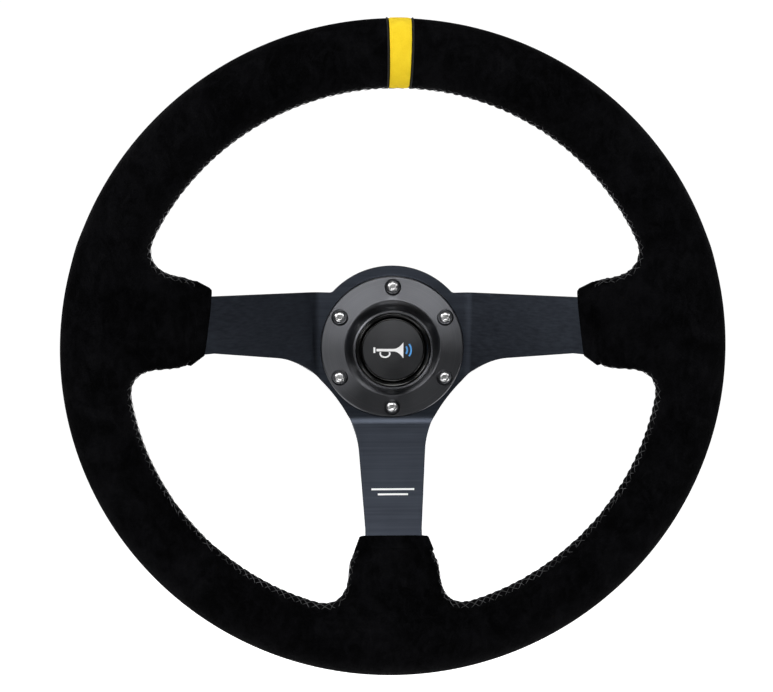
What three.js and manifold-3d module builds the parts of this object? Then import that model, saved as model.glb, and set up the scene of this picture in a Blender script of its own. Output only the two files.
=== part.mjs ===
// A dished three-spoke steering wheel with a suede rim, carried on a ball-lock quick-release hub.
//
// The wheel is drawn looking straight at the driver's side: x to the right, y up, and z, called the
// height, from the column's mounting face out toward the driver. The finished group is turned so that
// +Z is up and +Y points into the column. All sizes are millimetres.
import * as THREE from "three";
import { mergeVertices } from "three/addons/utils/BufferGeometryUtils.js";
import Module from "manifold-3d";

// ---------------------------------------------------------------- driving dimensions
const DEG = Math.PI / 180;
const GAP = 0.3; // clearance left between pieces that touch
const WELD = 1e-3; // vertices closer than this are one vertex
const OVERSHOOT = 2; // how far a cutter runs past the face that it cuts

const RING_STEPS = 36; // facets round the rim
const HUB_STEPS = 24; // facets round the hub's turned pieces
const SECTION_STEPS = 12; // facets round the rim's section
const HOLE_STEPS = 10;
const BALL_STEPS = 12; // facets round the lock balls and their holes
const RIVET_STEPS = 8;
const WIRE_SIDES = 6;
const COIL_STEPS = 10; // steps in one turn of a spring
const BEND_STEPS = 3;
const WEDGE_STEP = 30; // largest angle of one facet of a wedge, in degrees
const CURVE_STEPS = 5;

// Rim
const RIM_OUTER_DIAMETER = 350;
const RIM_HALF_WIDTH = 16.8; // half of the rim's section along the wheel's radius
const RIM_HALF_DEPTH = 15.8; // half of it along the wheel's axis
const RIM_RADIUS = RIM_OUTER_DIAMETER / 2 - RIM_HALF_WIDTH;
const SUEDE = 1.2; // thickness of the suede
const CORE_WIDTH = 10; // flat steel ring inside the rim
const CORE_THICKNESS = 5;
const BAND_WIDTH = 12; // centre marker at the top of the rim

// Heights of the stack on the wheel's axis
const PLATE_BACK = 58;
const PLATE_THICKNESS = 4;
const DISH = 52; // from the hub plate's front face to the middle of the rim
const PLATE_FRONT = PLATE_BACK + PLATE_THICKNESS;
const RIM_HEIGHT = PLATE_FRONT + DISH;

// Spoke plate
const PLATE_RADIUS = 46.4;
const PLATE_BORE = 21.3;
const PLATE_FILLET = 3; // between the round hub and the top edge of a side arm
const BEND_START = 41; // distance from the axis where the arms start to bend
const BEND_RADIUS = 12;
const BEND_ANGLE = 31.8 * DEG;
const ARM_END = 163;
const CUFF_START = 99; // distance from the axis where the suede cuffs start
const SIDE_ARM_LOW = 1.6; // the side arms lie above the wheel's centre
const SIDE_ARM_HIGH = 32.4;
const SIDE_ARM_HIGH_AT_HUB = 30.8;
const BOTTOM_ARM_HALF = 15.9;
const BOTTOM_ARM_FOOT = new THREE.Vector2(19.2, -60); // where its edge starts to curve into a side arm
const SIDE_ARM_FOOT = new THREE.Vector2(66, -4.6);
const FOOT_PULL = 20.5; // length of the control handles of that curve

// Cuffs round the outer ends of the arms
const CUFF_HALF_THICKNESS = 7.2;
// One long edge of a cuff, seen from the driver's side: its distance from the arm's line at the
// cuff's nose, then the points [along the arm, across it] of its shoulder, of the start of its flare
// and of the end of the flare at the rim.
const SIDE_CUFF_UPPER = { nose: 37, shoulder: [106, 42.5], flare: [119, 46.3], rim: [128.5, 58] };
const SIDE_CUFF_LOWER = { nose: 3, shoulder: [108.5, -4.4], flare: [127, -4.4], rim: [139.8, -17] };
const BOTTOM_CUFF_EDGE = { nose: 18.8, shoulder: [110, 23], flare: [121, 24.8], rim: [134.5, 41] };

// Hub ring, its screws and the pattern that all bolted joints share
const BOLT_CIRCLE = 70;
const BOLT_COUNT = 6;
const BOLT_CLEARANCE_RADIUS = 2.75;
const HUB_RING_RADIUS = 41.2;
const HUB_RING_THICKNESS = 5.5;
const HUB_RING_BORE = 21.2;
const HUB_RING_CREST_RADIUS = 22;
const HUB_RING_CREST = 14.3; // height of the crest above the ring's back
const CONE_FOOT_RADIUS = 28;
const RECESS_RADIUS = 4.75;
const RECESS_FLOOR_RADIUS = 4.3;
const RECESS_DEPTH = 3.6;
const SCREW_HEAD_RADIUS = 3.5;
const SCREW_HEAD_HEIGHT = 2.3;
const SCREW_RADIUS = 2.4;
const SCREW_LENGTH = 13.5;
const SOCKET_RADIUS = 1.7;
const SOCKET_DEPTH = 1.5;

// Quick release
const COLUMN_FLANGE_RADIUS = 40;
const COLUMN_FLANGE_THICKNESS = 7;
const COLUMN_WEB = 5; // closed floor of the column half
const COLUMN_BORE = 15;
const LEAD_HOLE_RADIUS = 4;
const LEAD_HOLE_OFFSET = 9;
const NOSE_RADIUS = 22;
const NOSE_END = 33;
const SPLINE_ROOT = 22.4;
const SPLINE_TIP = 24.2;
const SPLINE_END = 22;
const SPLINE_COUNT = 12;
const TOOTH_WIDTH = 5;
const MASTER_TOOTH_WIDTH = 8; // one wide tooth, so that the wheel goes on one way round
const BALL_RADIUS = 3.5;
const BALL_COUNT = 6;
const BALL_CIRCLE = 23.5; // radius of the ball centres when locked
const BALL_HEIGHT = 27;
const BALL_TRAVEL = 2.2;
const BALL_HOLE_CLEARANCE = 0.2;
const BALL_HOLE_LENGTH = 12;
const COLLAR_STROKE = 6;
const SLEEVE_OUTER = 27;
const SLEEVE_START = 9.6;
const WHEEL_FLANGE_RADIUS = 42;
const WHEEL_FLANGE_BACK = 50;
const COLLAR_START = 14;
const COLLAR_LIP = 3.5;
const COLLAR_BORE = 27.35;
const COLLAR_BODY_RADIUS = 34.5;
const COLLAR_GRIP_RADIUS = 39;
const COLLAR_GRIP_START = 34;
const COLLAR_END = 40;
const SPRING_POCKET_RADIUS = 32.2;
const SPRING_POCKET_FLOOR = 31;
const SNAP_RING_BACK = 12.2;
const SNAP_RING_THICKNESS = 1.5;
const SNAP_RING_BITE = 0.8; // how far it sits in its groove
const SNAP_RING_STAND = 2; // how far it stands out of the sleeve
const SNAP_RING_OPENING = 20; // degrees
const COLLAR_SPRING_WIRE = 0.9; // radius
const COLLAR_SPRING_TURNS = 5;

// Horn button
const HOUSING_RADIUS = 20.9;
const HOUSING_BORE = 19;
const HOUSING_BACK = 54;
const HOUSING_FLOOR = 1.5;
const HOUSING_FRONT = 70;
const HOUSING_LIP_RADIUS = 24.6;
const BEZEL_FRONT = 76.4;
const BEZEL_BORE = 18.8;
const CAP_RADIUS = 17.9;
const CAP_FRONT = 75.3;
const FACE_RADIUS = 17.1;
const HORN_TRAVEL = 2.5;

// ---------------------------------------------------------------- solids
const wasm = await Module();
wasm.setup();

function toSolid(geometry) {
  const bare = geometry.clone();
  bare.deleteAttribute("normal");
  bare.deleteAttribute("uv");
  const merged = mergeVertices(bare, WELD);
  const mesh = new wasm.Mesh({
    numProp: 3,
    vertProperties: merged.attributes.position.array,
    triVerts: new Uint32Array(merged.index.array),
  });
  return new wasm.Manifold(mesh);
}

function toGeometry(solid) {
  const mesh = solid.getMesh();
  const geometry = new THREE.BufferGeometry();
  geometry.setAttribute("position", new THREE.BufferAttribute(mesh.vertProperties, mesh.numProp));
  geometry.setIndex(new THREE.BufferAttribute(mesh.triVerts, 1));
  geometry.computeVertexNormals();
  return geometry;
}

// A turned piece. The profile lists [radius, height] points counter-clockwise. It starts and ends on
// the axis, or is closed here.
function turned(profile, steps = HUB_STEPS) {
  const closed = profile[0][0] === 0 ? profile : [...profile, profile[0]];
  const points = closed.map(([radius, height]) => new THREE.Vector2(radius, height));
  return toSolid(new THREE.LatheGeometry(points, steps).rotateX(Math.PI / 2));
}

// A round rod or hole cutter between two heights, with a second radius at its upper end.
function rod(radius, low, high, x = 0, y = 0, topRadius = radius, steps = HOLE_STEPS) {
  const geometry = new THREE.CylinderGeometry(topRadius, radius, high - low, steps);
  geometry.rotateX(Math.PI / 2).translate(x, y, (low + high) / 2);
  return toSolid(geometry);
}

function prism(shape, low, high) {
  const geometry = new THREE.ExtrudeGeometry(shape, {
    depth: high - low,
    bevelEnabled: false,
    curveSegments: CURVE_STEPS,
  });
  return toSolid(geometry.translate(0, 0, low));
}

// The wedge between two angles, from the axis to beyond the rim.
function wedge(from, to, low, high) {
  const reach = RIM_OUTER_DIAMETER;
  const steps = Math.ceil((to - from) / WEDGE_STEP);
  const points = [new THREE.Vector2(0, 0)];
  for (let i = 0; i <= steps; i++) {
    const angle = (from + ((to - from) * i) / steps) * DEG;
    points.push(new THREE.Vector2(reach * Math.cos(angle), reach * Math.sin(angle)));
  }
  return prism(new THREE.Shape(points), low, high);
}

function joined(first, ...others) {
  return others.reduce((sum, other) => sum.add(other), first);
}

function without(first, ...others) {
  return others.reduce((rest, other) => rest.subtract(other), first);
}

function onCircle(radius, degrees) {
  return [radius * Math.cos(degrees * DEG), radius * Math.sin(degrees * DEG)];
}

function boltAngles() {
  return Array.from({ length: BOLT_COUNT }, (_, i) => 90 - (i * 360) / BOLT_COUNT);
}

// The round cutters of a bolt circle.
function boltHoles(radius, low, high, topRadius = radius) {
  return boltAngles().map((degrees) => {
    const [x, y] = onCircle(BOLT_CIRCLE / 2, degrees);
    return rod(radius, low, high, x, y, topRadius);
  });
}

class Coil extends THREE.Curve {
  constructor(radius, low, high, turns) {
    super();
    Object.assign(this, { radius, low, high, turns });
  }
  getPoint(t, target = new THREE.Vector3()) {
    const angle = t * this.turns * 2 * Math.PI;
    const height = this.low + t * (this.high - this.low);
    return target.set(this.radius * Math.cos(angle), this.radius * Math.sin(angle), height);
  }
}

// A coil spring that fills the space between two heights.
function spring(radius, wire, low, high, turns) {
  const section = new THREE.Shape().absarc(0, 0, wire, 0, 2 * Math.PI);
  const geometry = new THREE.ExtrudeGeometry(section, {
    steps: turns * COIL_STEPS,
    curveSegments: WIRE_SIDES / 2, // a full circle gets two segments for each
    extrudePath: new Coil(radius, low + wire, high - wire, turns),
  });
  return toSolid(geometry);
}

// ---------------------------------------------------------------- scene graph
const group = new THREE.Group();
const columnHalf = new THREE.Group();
const wheelHalf = new THREE.Group();
const hornButton = new THREE.Group();
wheelHalf.add(hornButton);
group.add(columnHalf, wheelHalf);

const finishes = {
  suede: { color: 0x0d0d10, roughness: 0.95, metalness: 0 },
  marker: { color: 0xf5d730, roughness: 0.9, metalness: 0 },
  foam: { color: 0x2a2a2a, roughness: 0.9, metalness: 0 },
  anodised: { color: 0x24282f, roughness: 0.45, metalness: 0.8 },
  ring: { color: 0x2e3036, roughness: 0.35, metalness: 0.8 },
  zinc: { color: 0xc9ccd2, roughness: 0.3, metalness: 1 },
  steel: { color: 0x9a9da3, roughness: 0.4, metalness: 1 },
  aluminium: { color: 0xa8abb0, roughness: 0.4, metalness: 1 },
  brass: { color: 0xb08d45, roughness: 0.35, metalness: 1 },
  gloss: { color: 0x08080a, roughness: 0.15, metalness: 0 },
  plastic: { color: 0x141416, roughness: 0.6, metalness: 0 },
  face: { color: 0x3c3d40, roughness: 0.4, metalness: 0.6 },
};

function place(parent, name, solid, finish, position = [0, 0, 0], turn = 0) {
  const mesh = new THREE.Mesh(toGeometry(solid), new THREE.MeshStandardMaterial(finishes[finish]));
  mesh.name = name;
  mesh.position.set(...position);
  mesh.rotation.z = turn;
  parent.add(mesh);
}

// ---------------------------------------------------------------- rim
// The three arms, each drawn along +x and turned to its place. "arm" is measured across the arm, and
// "rim" is the stretch of rim that the cuff takes in, in degrees.
const SIDE_CUFF_LOW = -9;
const SIDE_CUFF_HIGH = 26;
const BOTTOM_CUFF_HALF_ANGLE = 18.5;
function flipped({ nose, shoulder, flare, rim }) {
  const across = ([along, over]) => [along, -over];
  return { nose: -nose, shoulder: across(shoulder), flare: across(flare), rim: across(rim) };
}

const ARMS = [
  {
    name: "right",
    turn: 0,
    arm: [SIDE_ARM_LOW, SIDE_ARM_HIGH],
    edges: [SIDE_CUFF_LOWER, SIDE_CUFF_UPPER],
    rim: [SIDE_CUFF_LOW, SIDE_CUFF_HIGH],
  },
  {
    name: "left",
    turn: 180,
    arm: [-SIDE_ARM_HIGH, -SIDE_ARM_LOW],
    edges: [flipped(SIDE_CUFF_UPPER), flipped(SIDE_CUFF_LOWER)],
    rim: [-SIDE_CUFF_HIGH, -SIDE_CUFF_LOW],
  },
  {
    name: "bottom",
    turn: -90,
    arm: [-BOTTOM_ARM_HALF, BOTTOM_ARM_HALF],
    edges: [flipped(BOTTOM_CUFF_EDGE), BOTTOM_CUFF_EDGE],
    rim: [-BOTTOM_CUFF_HALF_ANGLE, BOTTOM_CUFF_HALF_ANGLE],
  },
];
const SEAM = (GAP / 2 / RIM_RADIUS) / DEG; // half of the gap between two stretches of rim, in degrees
const RIM_LOW = RIM_HEIGHT - 2 * RIM_HALF_DEPTH;
const RIM_HIGH = RIM_HEIGHT + 2 * RIM_HALF_DEPTH;
const CORE_BACK = RIM_HEIGHT - CORE_THICKNESS / 2;
const RIVET_PAIR = 8; // half of the distance between the two rivets of an arm
const RIVET_RADIUS = 2;
const RIVET_HEAD_RADIUS = 3.8;
const RIVET_HEAD_HEIGHT = 2.2;

function rimTube(inset) {
  const profile = Array.from({ length: SECTION_STEPS }, (_, i) => {
    const angle = (i * 2 * Math.PI) / SECTION_STEPS;
    return [
      RIM_RADIUS + (RIM_HALF_WIDTH - inset) * Math.cos(angle),
      RIM_HEIGHT + (RIM_HALF_DEPTH - inset) * Math.sin(angle),
    ];
  });
  return turned(profile, RING_STEPS);
}

function coreRing(grow) {
  const inner = RIM_RADIUS - CORE_WIDTH / 2 - grow;
  const outer = RIM_RADIUS + CORE_WIDTH / 2 + grow;
  const low = CORE_BACK - grow;
  const high = CORE_BACK + CORE_THICKNESS + grow;
  return turned([[inner, low], [outer, low], [outer, high], [inner, high]], RING_STEPS);
}

const suedeTube = rimTube(0).subtract(rimTube(SUEDE));
const paddingTube = rimTube(SUEDE + GAP).subtract(coreRing(GAP));

function stretch(tube, from, to) {
  return tube.intersect(wedge(from + SEAM, to - SEAM, RIM_LOW, RIM_HIGH));
}

const BAND_HALF_ANGLE = Math.asin(BAND_WIDTH / RIM_OUTER_DIAMETER) / DEG;
const RIGHT_TOP = SIDE_CUFF_HIGH;
const LEFT_TOP = 180 - SIDE_CUFF_HIGH;
const LEFT_BOTTOM = 180 - SIDE_CUFF_LOW;
const RIGHT_BOTTOM = 360 + SIDE_CUFF_LOW;
const BOTTOM_LEFT = 270 - BOTTOM_CUFF_HALF_ANGLE;
const BOTTOM_RIGHT = 270 + BOTTOM_CUFF_HALF_ANGLE;

const suedePanels = {
  suede_upper_right: [RIGHT_TOP, 90 - BAND_HALF_ANGLE],
  suede_upper_left: [90 + BAND_HALF_ANGLE, LEFT_TOP],
  suede_lower_left: [LEFT_BOTTOM, BOTTOM_LEFT],
  suede_lower_right: [BOTTOM_RIGHT, RIGHT_BOTTOM],
};
for (const [name, [from, to]] of Object.entries(suedePanels)) {
  place(wheelHalf, name, stretch(suedeTube, from, to), "suede");
}
const marker = stretch(suedeTube, 90 - BAND_HALF_ANGLE, 90 + BAND_HALF_ANGLE);
place(wheelHalf, "centre_marker_band", marker, "marker");

const paddingArcs = {
  rim_padding_upper: [RIGHT_TOP, LEFT_TOP],
  rim_padding_lower_left: [LEFT_BOTTOM, BOTTOM_LEFT],
  rim_padding_lower_right: [BOTTOM_RIGHT, RIGHT_BOTTOM],
};
for (const [name, [from, to]] of Object.entries(paddingArcs)) {
  place(wheelHalf, name, stretch(paddingTube, from, to), "foam");
}

// ---------------------------------------------------------------- spoke plate
const ARM_MIDDLE_AT_HUB = PLATE_BACK + PLATE_THICKNESS / 2;
const ARM_MIDDLE_AT_RIM = CORE_BACK - GAP - PLATE_THICKNESS / 2;
const BEND_RISE = BEND_RADIUS * (1 - Math.cos(BEND_ANGLE));
const BEND_RUN = BEND_RADIUS * Math.sin(BEND_ANGLE);
const STRAIGHT_RISE = ARM_MIDDLE_AT_RIM - ARM_MIDDLE_AT_HUB - 2 * BEND_RISE;
const BEND_END = BEND_START + 2 * BEND_RUN + STRAIGHT_RISE / Math.tan(BEND_ANGLE);

// The arm seen from its edge, as points [distance from the axis, height], for a surface that lies
// "offset" in front of the arm's middle.
function armLine(offset, end) {
  const path = new THREE.Path();
  path.moveTo(0, ARM_MIDDLE_AT_HUB + offset);
  path.lineTo(BEND_START, ARM_MIDDLE_AT_HUB + offset);
  const firstCentre = ARM_MIDDLE_AT_HUB + BEND_RADIUS;
  const quarter = Math.PI / 2;
  path.absarc(BEND_START, firstCentre, BEND_RADIUS - offset, -quarter, BEND_ANGLE - quarter, false);
  const secondCentre = ARM_MIDDLE_AT_RIM - BEND_RADIUS;
  path.absarc(BEND_END, secondCentre, BEND_RADIUS + offset, BEND_ANGLE + quarter, quarter, true);
  path.lineTo(end, ARM_MIDDLE_AT_RIM + offset);
  return path.getPoints(BEND_STEPS);
}

// A strip of sheet that follows the arm, "half" thick on both sides of its middle, from one distance
// across the arm to another.
function armStrip(half, end, from, to, turn) {
  const shape = new THREE.Shape([...armLine(-half, end), ...armLine(half, end).reverse()]);
  const geometry = new THREE.ExtrudeGeometry(shape, { depth: to - from, bevelEnabled: false });
  geometry.rotateX(Math.PI / 2).translate(0, to, 0).rotateZ(turn * DEG);
  return toSolid(geometry);
}

function plateOutline() {
  const path = new THREE.Path();
  path.moveTo(BOTTOM_ARM_HALF, -ARM_END);
  path.lineTo(BOTTOM_ARM_HALF, -CUFF_START);
  path.lineTo(BOTTOM_ARM_FOOT.x, BOTTOM_ARM_FOOT.y);
  const armEdge = new THREE.Vector2(CUFF_START, SIDE_ARM_LOW);
  const bottomEdge = new THREE.Vector2(BOTTOM_ARM_HALF, -CUFF_START);
  const up = BOTTOM_ARM_FOOT.clone().sub(bottomEdge).setLength(FOOT_PULL).add(BOTTOM_ARM_FOOT);
  const inward = SIDE_ARM_FOOT.clone().sub(armEdge).setLength(FOOT_PULL).add(SIDE_ARM_FOOT);
  path.bezierCurveTo(up.x, up.y, inward.x, inward.y, SIDE_ARM_FOOT.x, SIDE_ARM_FOOT.y);
  path.lineTo(armEdge.x, armEdge.y);
  path.lineTo(ARM_END, SIDE_ARM_LOW);
  path.lineTo(ARM_END, SIDE_ARM_HIGH);
  path.lineTo(CUFF_START, SIDE_ARM_HIGH);
  const filletY = SIDE_ARM_HIGH_AT_HUB + PLATE_FILLET;
  const filletX = Math.sqrt((PLATE_RADIUS + PLATE_FILLET) ** 2 - filletY ** 2);
  const meet = Math.atan2(filletY, filletX);
  path.lineTo(filletX, SIDE_ARM_HIGH_AT_HUB);
  path.absarc(filletX, filletY, PLATE_FILLET, -Math.PI / 2, meet - Math.PI, true);
  path.absarc(0, 0, PLATE_RADIUS, meet, Math.PI / 2, false);
  const half = path.getPoints(2 * BEND_STEPS);
  const mirrored = half.slice(0, -1).map((p) => new THREE.Vector2(-p.x, p.y));
  return new THREE.Shape([...half, ...mirrored.reverse()]);
}

function spokePlate() {
  const half = PLATE_THICKNESS / 2;
  const split = -BEND_START + 1; // height on the wheel where the side arms' sheet meets the bottom arm's
  const lower = armStrip(half, ARM_END, -BEND_START, BEND_START, -90);
  const overlap = 0.5; // shared by the two sheets, so that they join
  const box = new THREE.BoxGeometry(2 * ARM_END, 2 * ARM_END, 2 * ARM_END);
  const belowSplit = toSolid(box.translate(0, split + overlap - ARM_END, RIM_HEIGHT));
  const sides = joined(
    armStrip(half, ARM_END, split, PLATE_RADIUS + OVERSHOOT, 0),
    armStrip(half, ARM_END, -PLATE_RADIUS - OVERSHOOT, -split, 180),
  );
  const outline = prism(plateOutline(), PLATE_BACK - OVERSHOOT, RIM_HEIGHT + OVERSHOOT);
  const blank = joined(sides, lower.intersect(belowSplit)).intersect(outline);
  const low = PLATE_BACK - OVERSHOOT;
  const high = PLATE_FRONT + OVERSHOOT;
  const bore = rod(PLATE_BORE, low, high, 0, 0, PLATE_BORE, HUB_STEPS);
  const rivetHoles = rivetPlaces().map(([x, y]) =>
    rod(RIVET_RADIUS + GAP, ARM_MIDDLE_AT_RIM - PLATE_THICKNESS, CORE_BACK, x, y),
  );
  return without(blank, bore, ...boltHoles(BOLT_CLEARANCE_RADIUS, low, high), ...rivetHoles);
}

// The centres of the rivets, two for each arm, where the arms cross the core ring.
function rivetPlaces() {
  return ARMS.flatMap(({ turn, arm: [low, high] }) =>
    [-RIVET_PAIR, RIVET_PAIR].map((shift) => {
      const across = (low + high) / 2 + shift;
      const along = Math.sqrt(RIM_RADIUS ** 2 - across ** 2);
      const centre = new THREE.Vector2();
      return new THREE.Vector2(along, across).rotateAround(centre, turn * DEG).toArray();
    }),
  );
}

place(wheelHalf, "spoke_plate", spokePlate(), "anodised");

const RIVET_BACK = ARM_MIDDLE_AT_RIM - PLATE_THICKNESS / 2 - GAP;
const RIVET_FRONT = CORE_BACK + CORE_THICKNESS + GAP;

// A rivet: a shank between two domed heads, drawn on the axis.
function rivet() {
  const rim = RIVET_HEAD_HEIGHT / 3;
  const crown = RIVET_HEAD_RADIUS / 2;
  return turned(
    [
      [0, RIVET_BACK - RIVET_HEAD_HEIGHT],
      [crown, RIVET_BACK - RIVET_HEAD_HEIGHT],
      [RIVET_HEAD_RADIUS, RIVET_BACK - rim],
      [RIVET_HEAD_RADIUS, RIVET_BACK],
      [RIVET_RADIUS, RIVET_BACK],
      [RIVET_RADIUS, RIVET_FRONT],
      [RIVET_HEAD_RADIUS, RIVET_FRONT],
      [RIVET_HEAD_RADIUS, RIVET_FRONT + rim],
      [crown, RIVET_FRONT + RIVET_HEAD_HEIGHT],
      [0, RIVET_FRONT + RIVET_HEAD_HEIGHT],
    ],
    RIVET_STEPS,
  );
}

rivetPlaces().forEach(([x, y], i) => {
  const side = ARMS[Math.floor(i / 2)].name;
  place(wheelHalf, `rivet_${side}_${(i % 2) + 1}`, rivet(), "steel", [x, y, 0]);
});

const rivetPockets = rivetPlaces().map(([x, y]) => {
  const room = RIVET_HEAD_HEIGHT + GAP;
  return rod(RIVET_HEAD_RADIUS + GAP, RIVET_BACK - room, RIVET_FRONT + room, x, y);
});
const rivetBores = rivetPlaces().map(([x, y]) =>
  rod(RIVET_RADIUS + GAP, RIVET_BACK, RIVET_FRONT, x, y),
);
place(wheelHalf, "rim_core_ring", without(coreRing(0), ...rivetBores), "steel");

// ---------------------------------------------------------------- cuffs
// One long edge of a cuff, moved "inset" toward the cuff's middle. "side" is 1 for the edge on the +y
// side of the cuff and -1 for the other.
function cuffEdge({ nose, shoulder, flare, rim }, inset, start, side) {
  const shift = -side * inset;
  const path = new THREE.Path();
  path.moveTo(start, nose + shift);
  path.quadraticCurveTo(start, shoulder[1] + shift, shoulder[0], shoulder[1] + shift);
  path.lineTo(flare[0], flare[1] + shift);
  path.quadraticCurveTo(rim[0] - (rim[0] - flare[0]) / 4, flare[1] + shift, rim[0], rim[1] + shift);
  path.lineTo(RIM_RADIUS - CORE_WIDTH, rim[1] + shift);
  return path.getPoints(BEND_STEPS);
}

function cuffOutline([lower, upper], inset, start) {
  return new THREE.Shape([
    ...cuffEdge(lower, inset, start, -1),
    ...cuffEdge(upper, inset, start, 1).reverse(),
  ]);
}

// The cuff's outer form less "inset" all round: a band along the arm, joined to its stretch of rim.
function cuffForm({ turn, edges, rim: [from, to] }, inset, start, extraAngle) {
  const end = RIM_RADIUS;
  const half = CUFF_HALF_THICKNESS - inset;
  const [lower, upper] = edges;
  const band = armStrip(half, end, lower.rim[1] - OVERSHOOT, upper.rim[1] + OVERSHOOT, turn);
  const low = PLATE_BACK - OVERSHOOT;
  const outline = cuffOutline(edges, inset, start);
  const geometry = new THREE.ExtrudeGeometry(outline, { depth: RIM_HIGH - low, bevelEnabled: false });
  const plan = toSolid(geometry.translate(0, 0, low).rotateZ(turn * DEG));
  const tube = stretch(rimTube(inset), turn + from - extraAngle, turn + to + extraAngle);
  return band.intersect(plan).add(tube);
}

for (const arm of ARMS) {
  const hollow = cuffForm(arm, SUEDE, CUFF_START - OVERSHOOT, 1);
  const skin = cuffForm(arm, 0, CUFF_START, 0).subtract(hollow);
  place(wheelHalf, `suede_cuff_${arm.name}`, skin, "suede");

  const [low, high] = arm.arm;
  const sheet = PLATE_THICKNESS / 2 + GAP;
  const slot = armStrip(sheet, ARM_END + GAP, low - GAP, high + GAP, arm.turn);
  const form = cuffForm(arm, SUEDE + GAP, CUFF_START + GAP, 0);
  const padding = without(form, slot, coreRing(GAP), ...rivetPockets);
  place(wheelHalf, `cuff_padding_${arm.name}`, padding, "foam");
}

// ---------------------------------------------------------------- hub ring and screws
const RING_BACK = PLATE_FRONT + GAP;
const RING_FRONT = RING_BACK + HUB_RING_THICKNESS;
const RECESS_FLOOR = RING_FRONT - RECESS_DEPTH;
const HOUSING_LIP_FRONT = RING_BACK + 2;

function hubRing() {
  const bevel = 0.8;
  const crest = RING_BACK + HUB_RING_CREST;
  const edge = 1;
  const sweep = new THREE.QuadraticBezierCurve(
    new THREE.Vector2(CONE_FOOT_RADIUS, RING_FRONT),
    new THREE.Vector2(HUB_RING_CREST_RADIUS + 3, RING_FRONT + bevel),
    new THREE.Vector2(HUB_RING_CREST_RADIUS + edge, crest - edge),
  );
  const ring = turned([
    [HUB_RING_RADIUS, RING_BACK],
    [HUB_RING_RADIUS, RING_FRONT - bevel],
    [HUB_RING_RADIUS - bevel, RING_FRONT],
    ...sweep.getPoints(CURVE_STEPS).map((p) => p.toArray()),
    [HUB_RING_CREST_RADIUS, crest],
    [HUB_RING_BORE, crest - edge / 2],
    [HUB_RING_BORE, HOUSING_LIP_FRONT + GAP],
    [HOUSING_LIP_RADIUS + GAP, HOUSING_LIP_FRONT + GAP],
    [HOUSING_LIP_RADIUS + GAP, RING_BACK],
  ]);
  const dishes = boltHoles(RECESS_FLOOR_RADIUS, RECESS_FLOOR, RING_FRONT + OVERSHOOT / 4, RECESS_RADIUS);
  const holes = boltHoles(BOLT_CLEARANCE_RADIUS, RING_BACK - OVERSHOOT, RING_FRONT);
  return without(ring, ...dishes, ...holes);
}

place(wheelHalf, "hub_ring", hubRing(), "ring");

// A socket-head screw on its own axis, with its head resting at height zero.
function hubScrew() {
  const chamfer = 0.5;
  const body = turned(
    [
      [0, -SCREW_LENGTH],
      [SCREW_RADIUS - chamfer, -SCREW_LENGTH],
      [SCREW_RADIUS, chamfer - SCREW_LENGTH],
      [SCREW_RADIUS, 0],
      [SCREW_HEAD_RADIUS, 0],
      [SCREW_HEAD_RADIUS, SCREW_HEAD_HEIGHT - chamfer],
      [SCREW_HEAD_RADIUS - chamfer, SCREW_HEAD_HEIGHT],
      [0, SCREW_HEAD_HEIGHT],
    ],
    HOLE_STEPS,
  );
  const floor = SCREW_HEAD_HEIGHT - SOCKET_DEPTH;
  const hexagon = 6;
  const socket = rod(SOCKET_RADIUS, floor, SCREW_HEAD_HEIGHT + OVERSHOOT, 0, 0, SOCKET_RADIUS, hexagon);
  return body.subtract(socket);
}

boltAngles().forEach((degrees, i) => {
  const [x, y] = onCircle(BOLT_CIRCLE / 2, degrees);
  place(wheelHalf, `hub_screw_${i + 1}`, hubScrew(), "zinc", [x, y, RECESS_FLOOR + GAP]);
});

// ---------------------------------------------------------------- quick release
function splineTeeth(count, grow, tip, low, high) {
  return Array.from({ length: count }, (_, i) => {
    const width = (i === 0 ? MASTER_TOOTH_WIDTH : TOOTH_WIDTH) + 2 * grow;
    const root = COLUMN_BORE + OVERSHOOT;
    const box = new THREE.BoxGeometry(tip - root, width, high - low);
    box.translate((tip + root) / 2, 0, (low + high) / 2);
    return toSolid(box.rotateZ(Math.PI / 2 + (i * 2 * Math.PI) / count));
  });
}

function ballAngles() {
  return Array.from({ length: BALL_COUNT }, (_, i) => 90 - (i * 360) / BALL_COUNT);
}

function columnHub() {
  const chamfer = 1;
  const body = turned([
    [0, 0],
    [COLUMN_FLANGE_RADIUS - chamfer, 0],
    [COLUMN_FLANGE_RADIUS, chamfer],
    [COLUMN_FLANGE_RADIUS, COLUMN_FLANGE_THICKNESS - chamfer],
    [COLUMN_FLANGE_RADIUS - chamfer, COLUMN_FLANGE_THICKNESS],
    [SPLINE_ROOT, COLUMN_FLANGE_THICKNESS],
    [SPLINE_ROOT, SPLINE_END],
    [NOSE_RADIUS, SPLINE_END],
    [NOSE_RADIUS, NOSE_END - chamfer],
    [NOSE_RADIUS - chamfer, NOSE_END],
    [COLUMN_BORE, NOSE_END],
    [COLUMN_BORE, COLUMN_WEB],
    [0, COLUMN_WEB],
  ]);
  const teeth = splineTeeth(SPLINE_COUNT, 0, SPLINE_TIP, COLUMN_FLANGE_THICKNESS - chamfer, SPLINE_END);
  const grooveRadius = BALL_RADIUS + GAP;
  const groove = new THREE.TorusGeometry(BALL_CIRCLE, grooveRadius, HOLE_STEPS, HUB_STEPS);
  const leadHole = rod(LEAD_HOLE_RADIUS, -OVERSHOOT, COLUMN_WEB + OVERSHOOT, 0, -LEAD_HOLE_OFFSET);
  return without(
    joined(body, ...teeth),
    toSolid(groove.translate(0, 0, BALL_HEIGHT)),
    leadHole,
    ...boltHoles(BOLT_CLEARANCE_RADIUS, -OVERSHOOT, COLUMN_FLANGE_THICKNESS + OVERSHOOT),
  );
}

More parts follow.
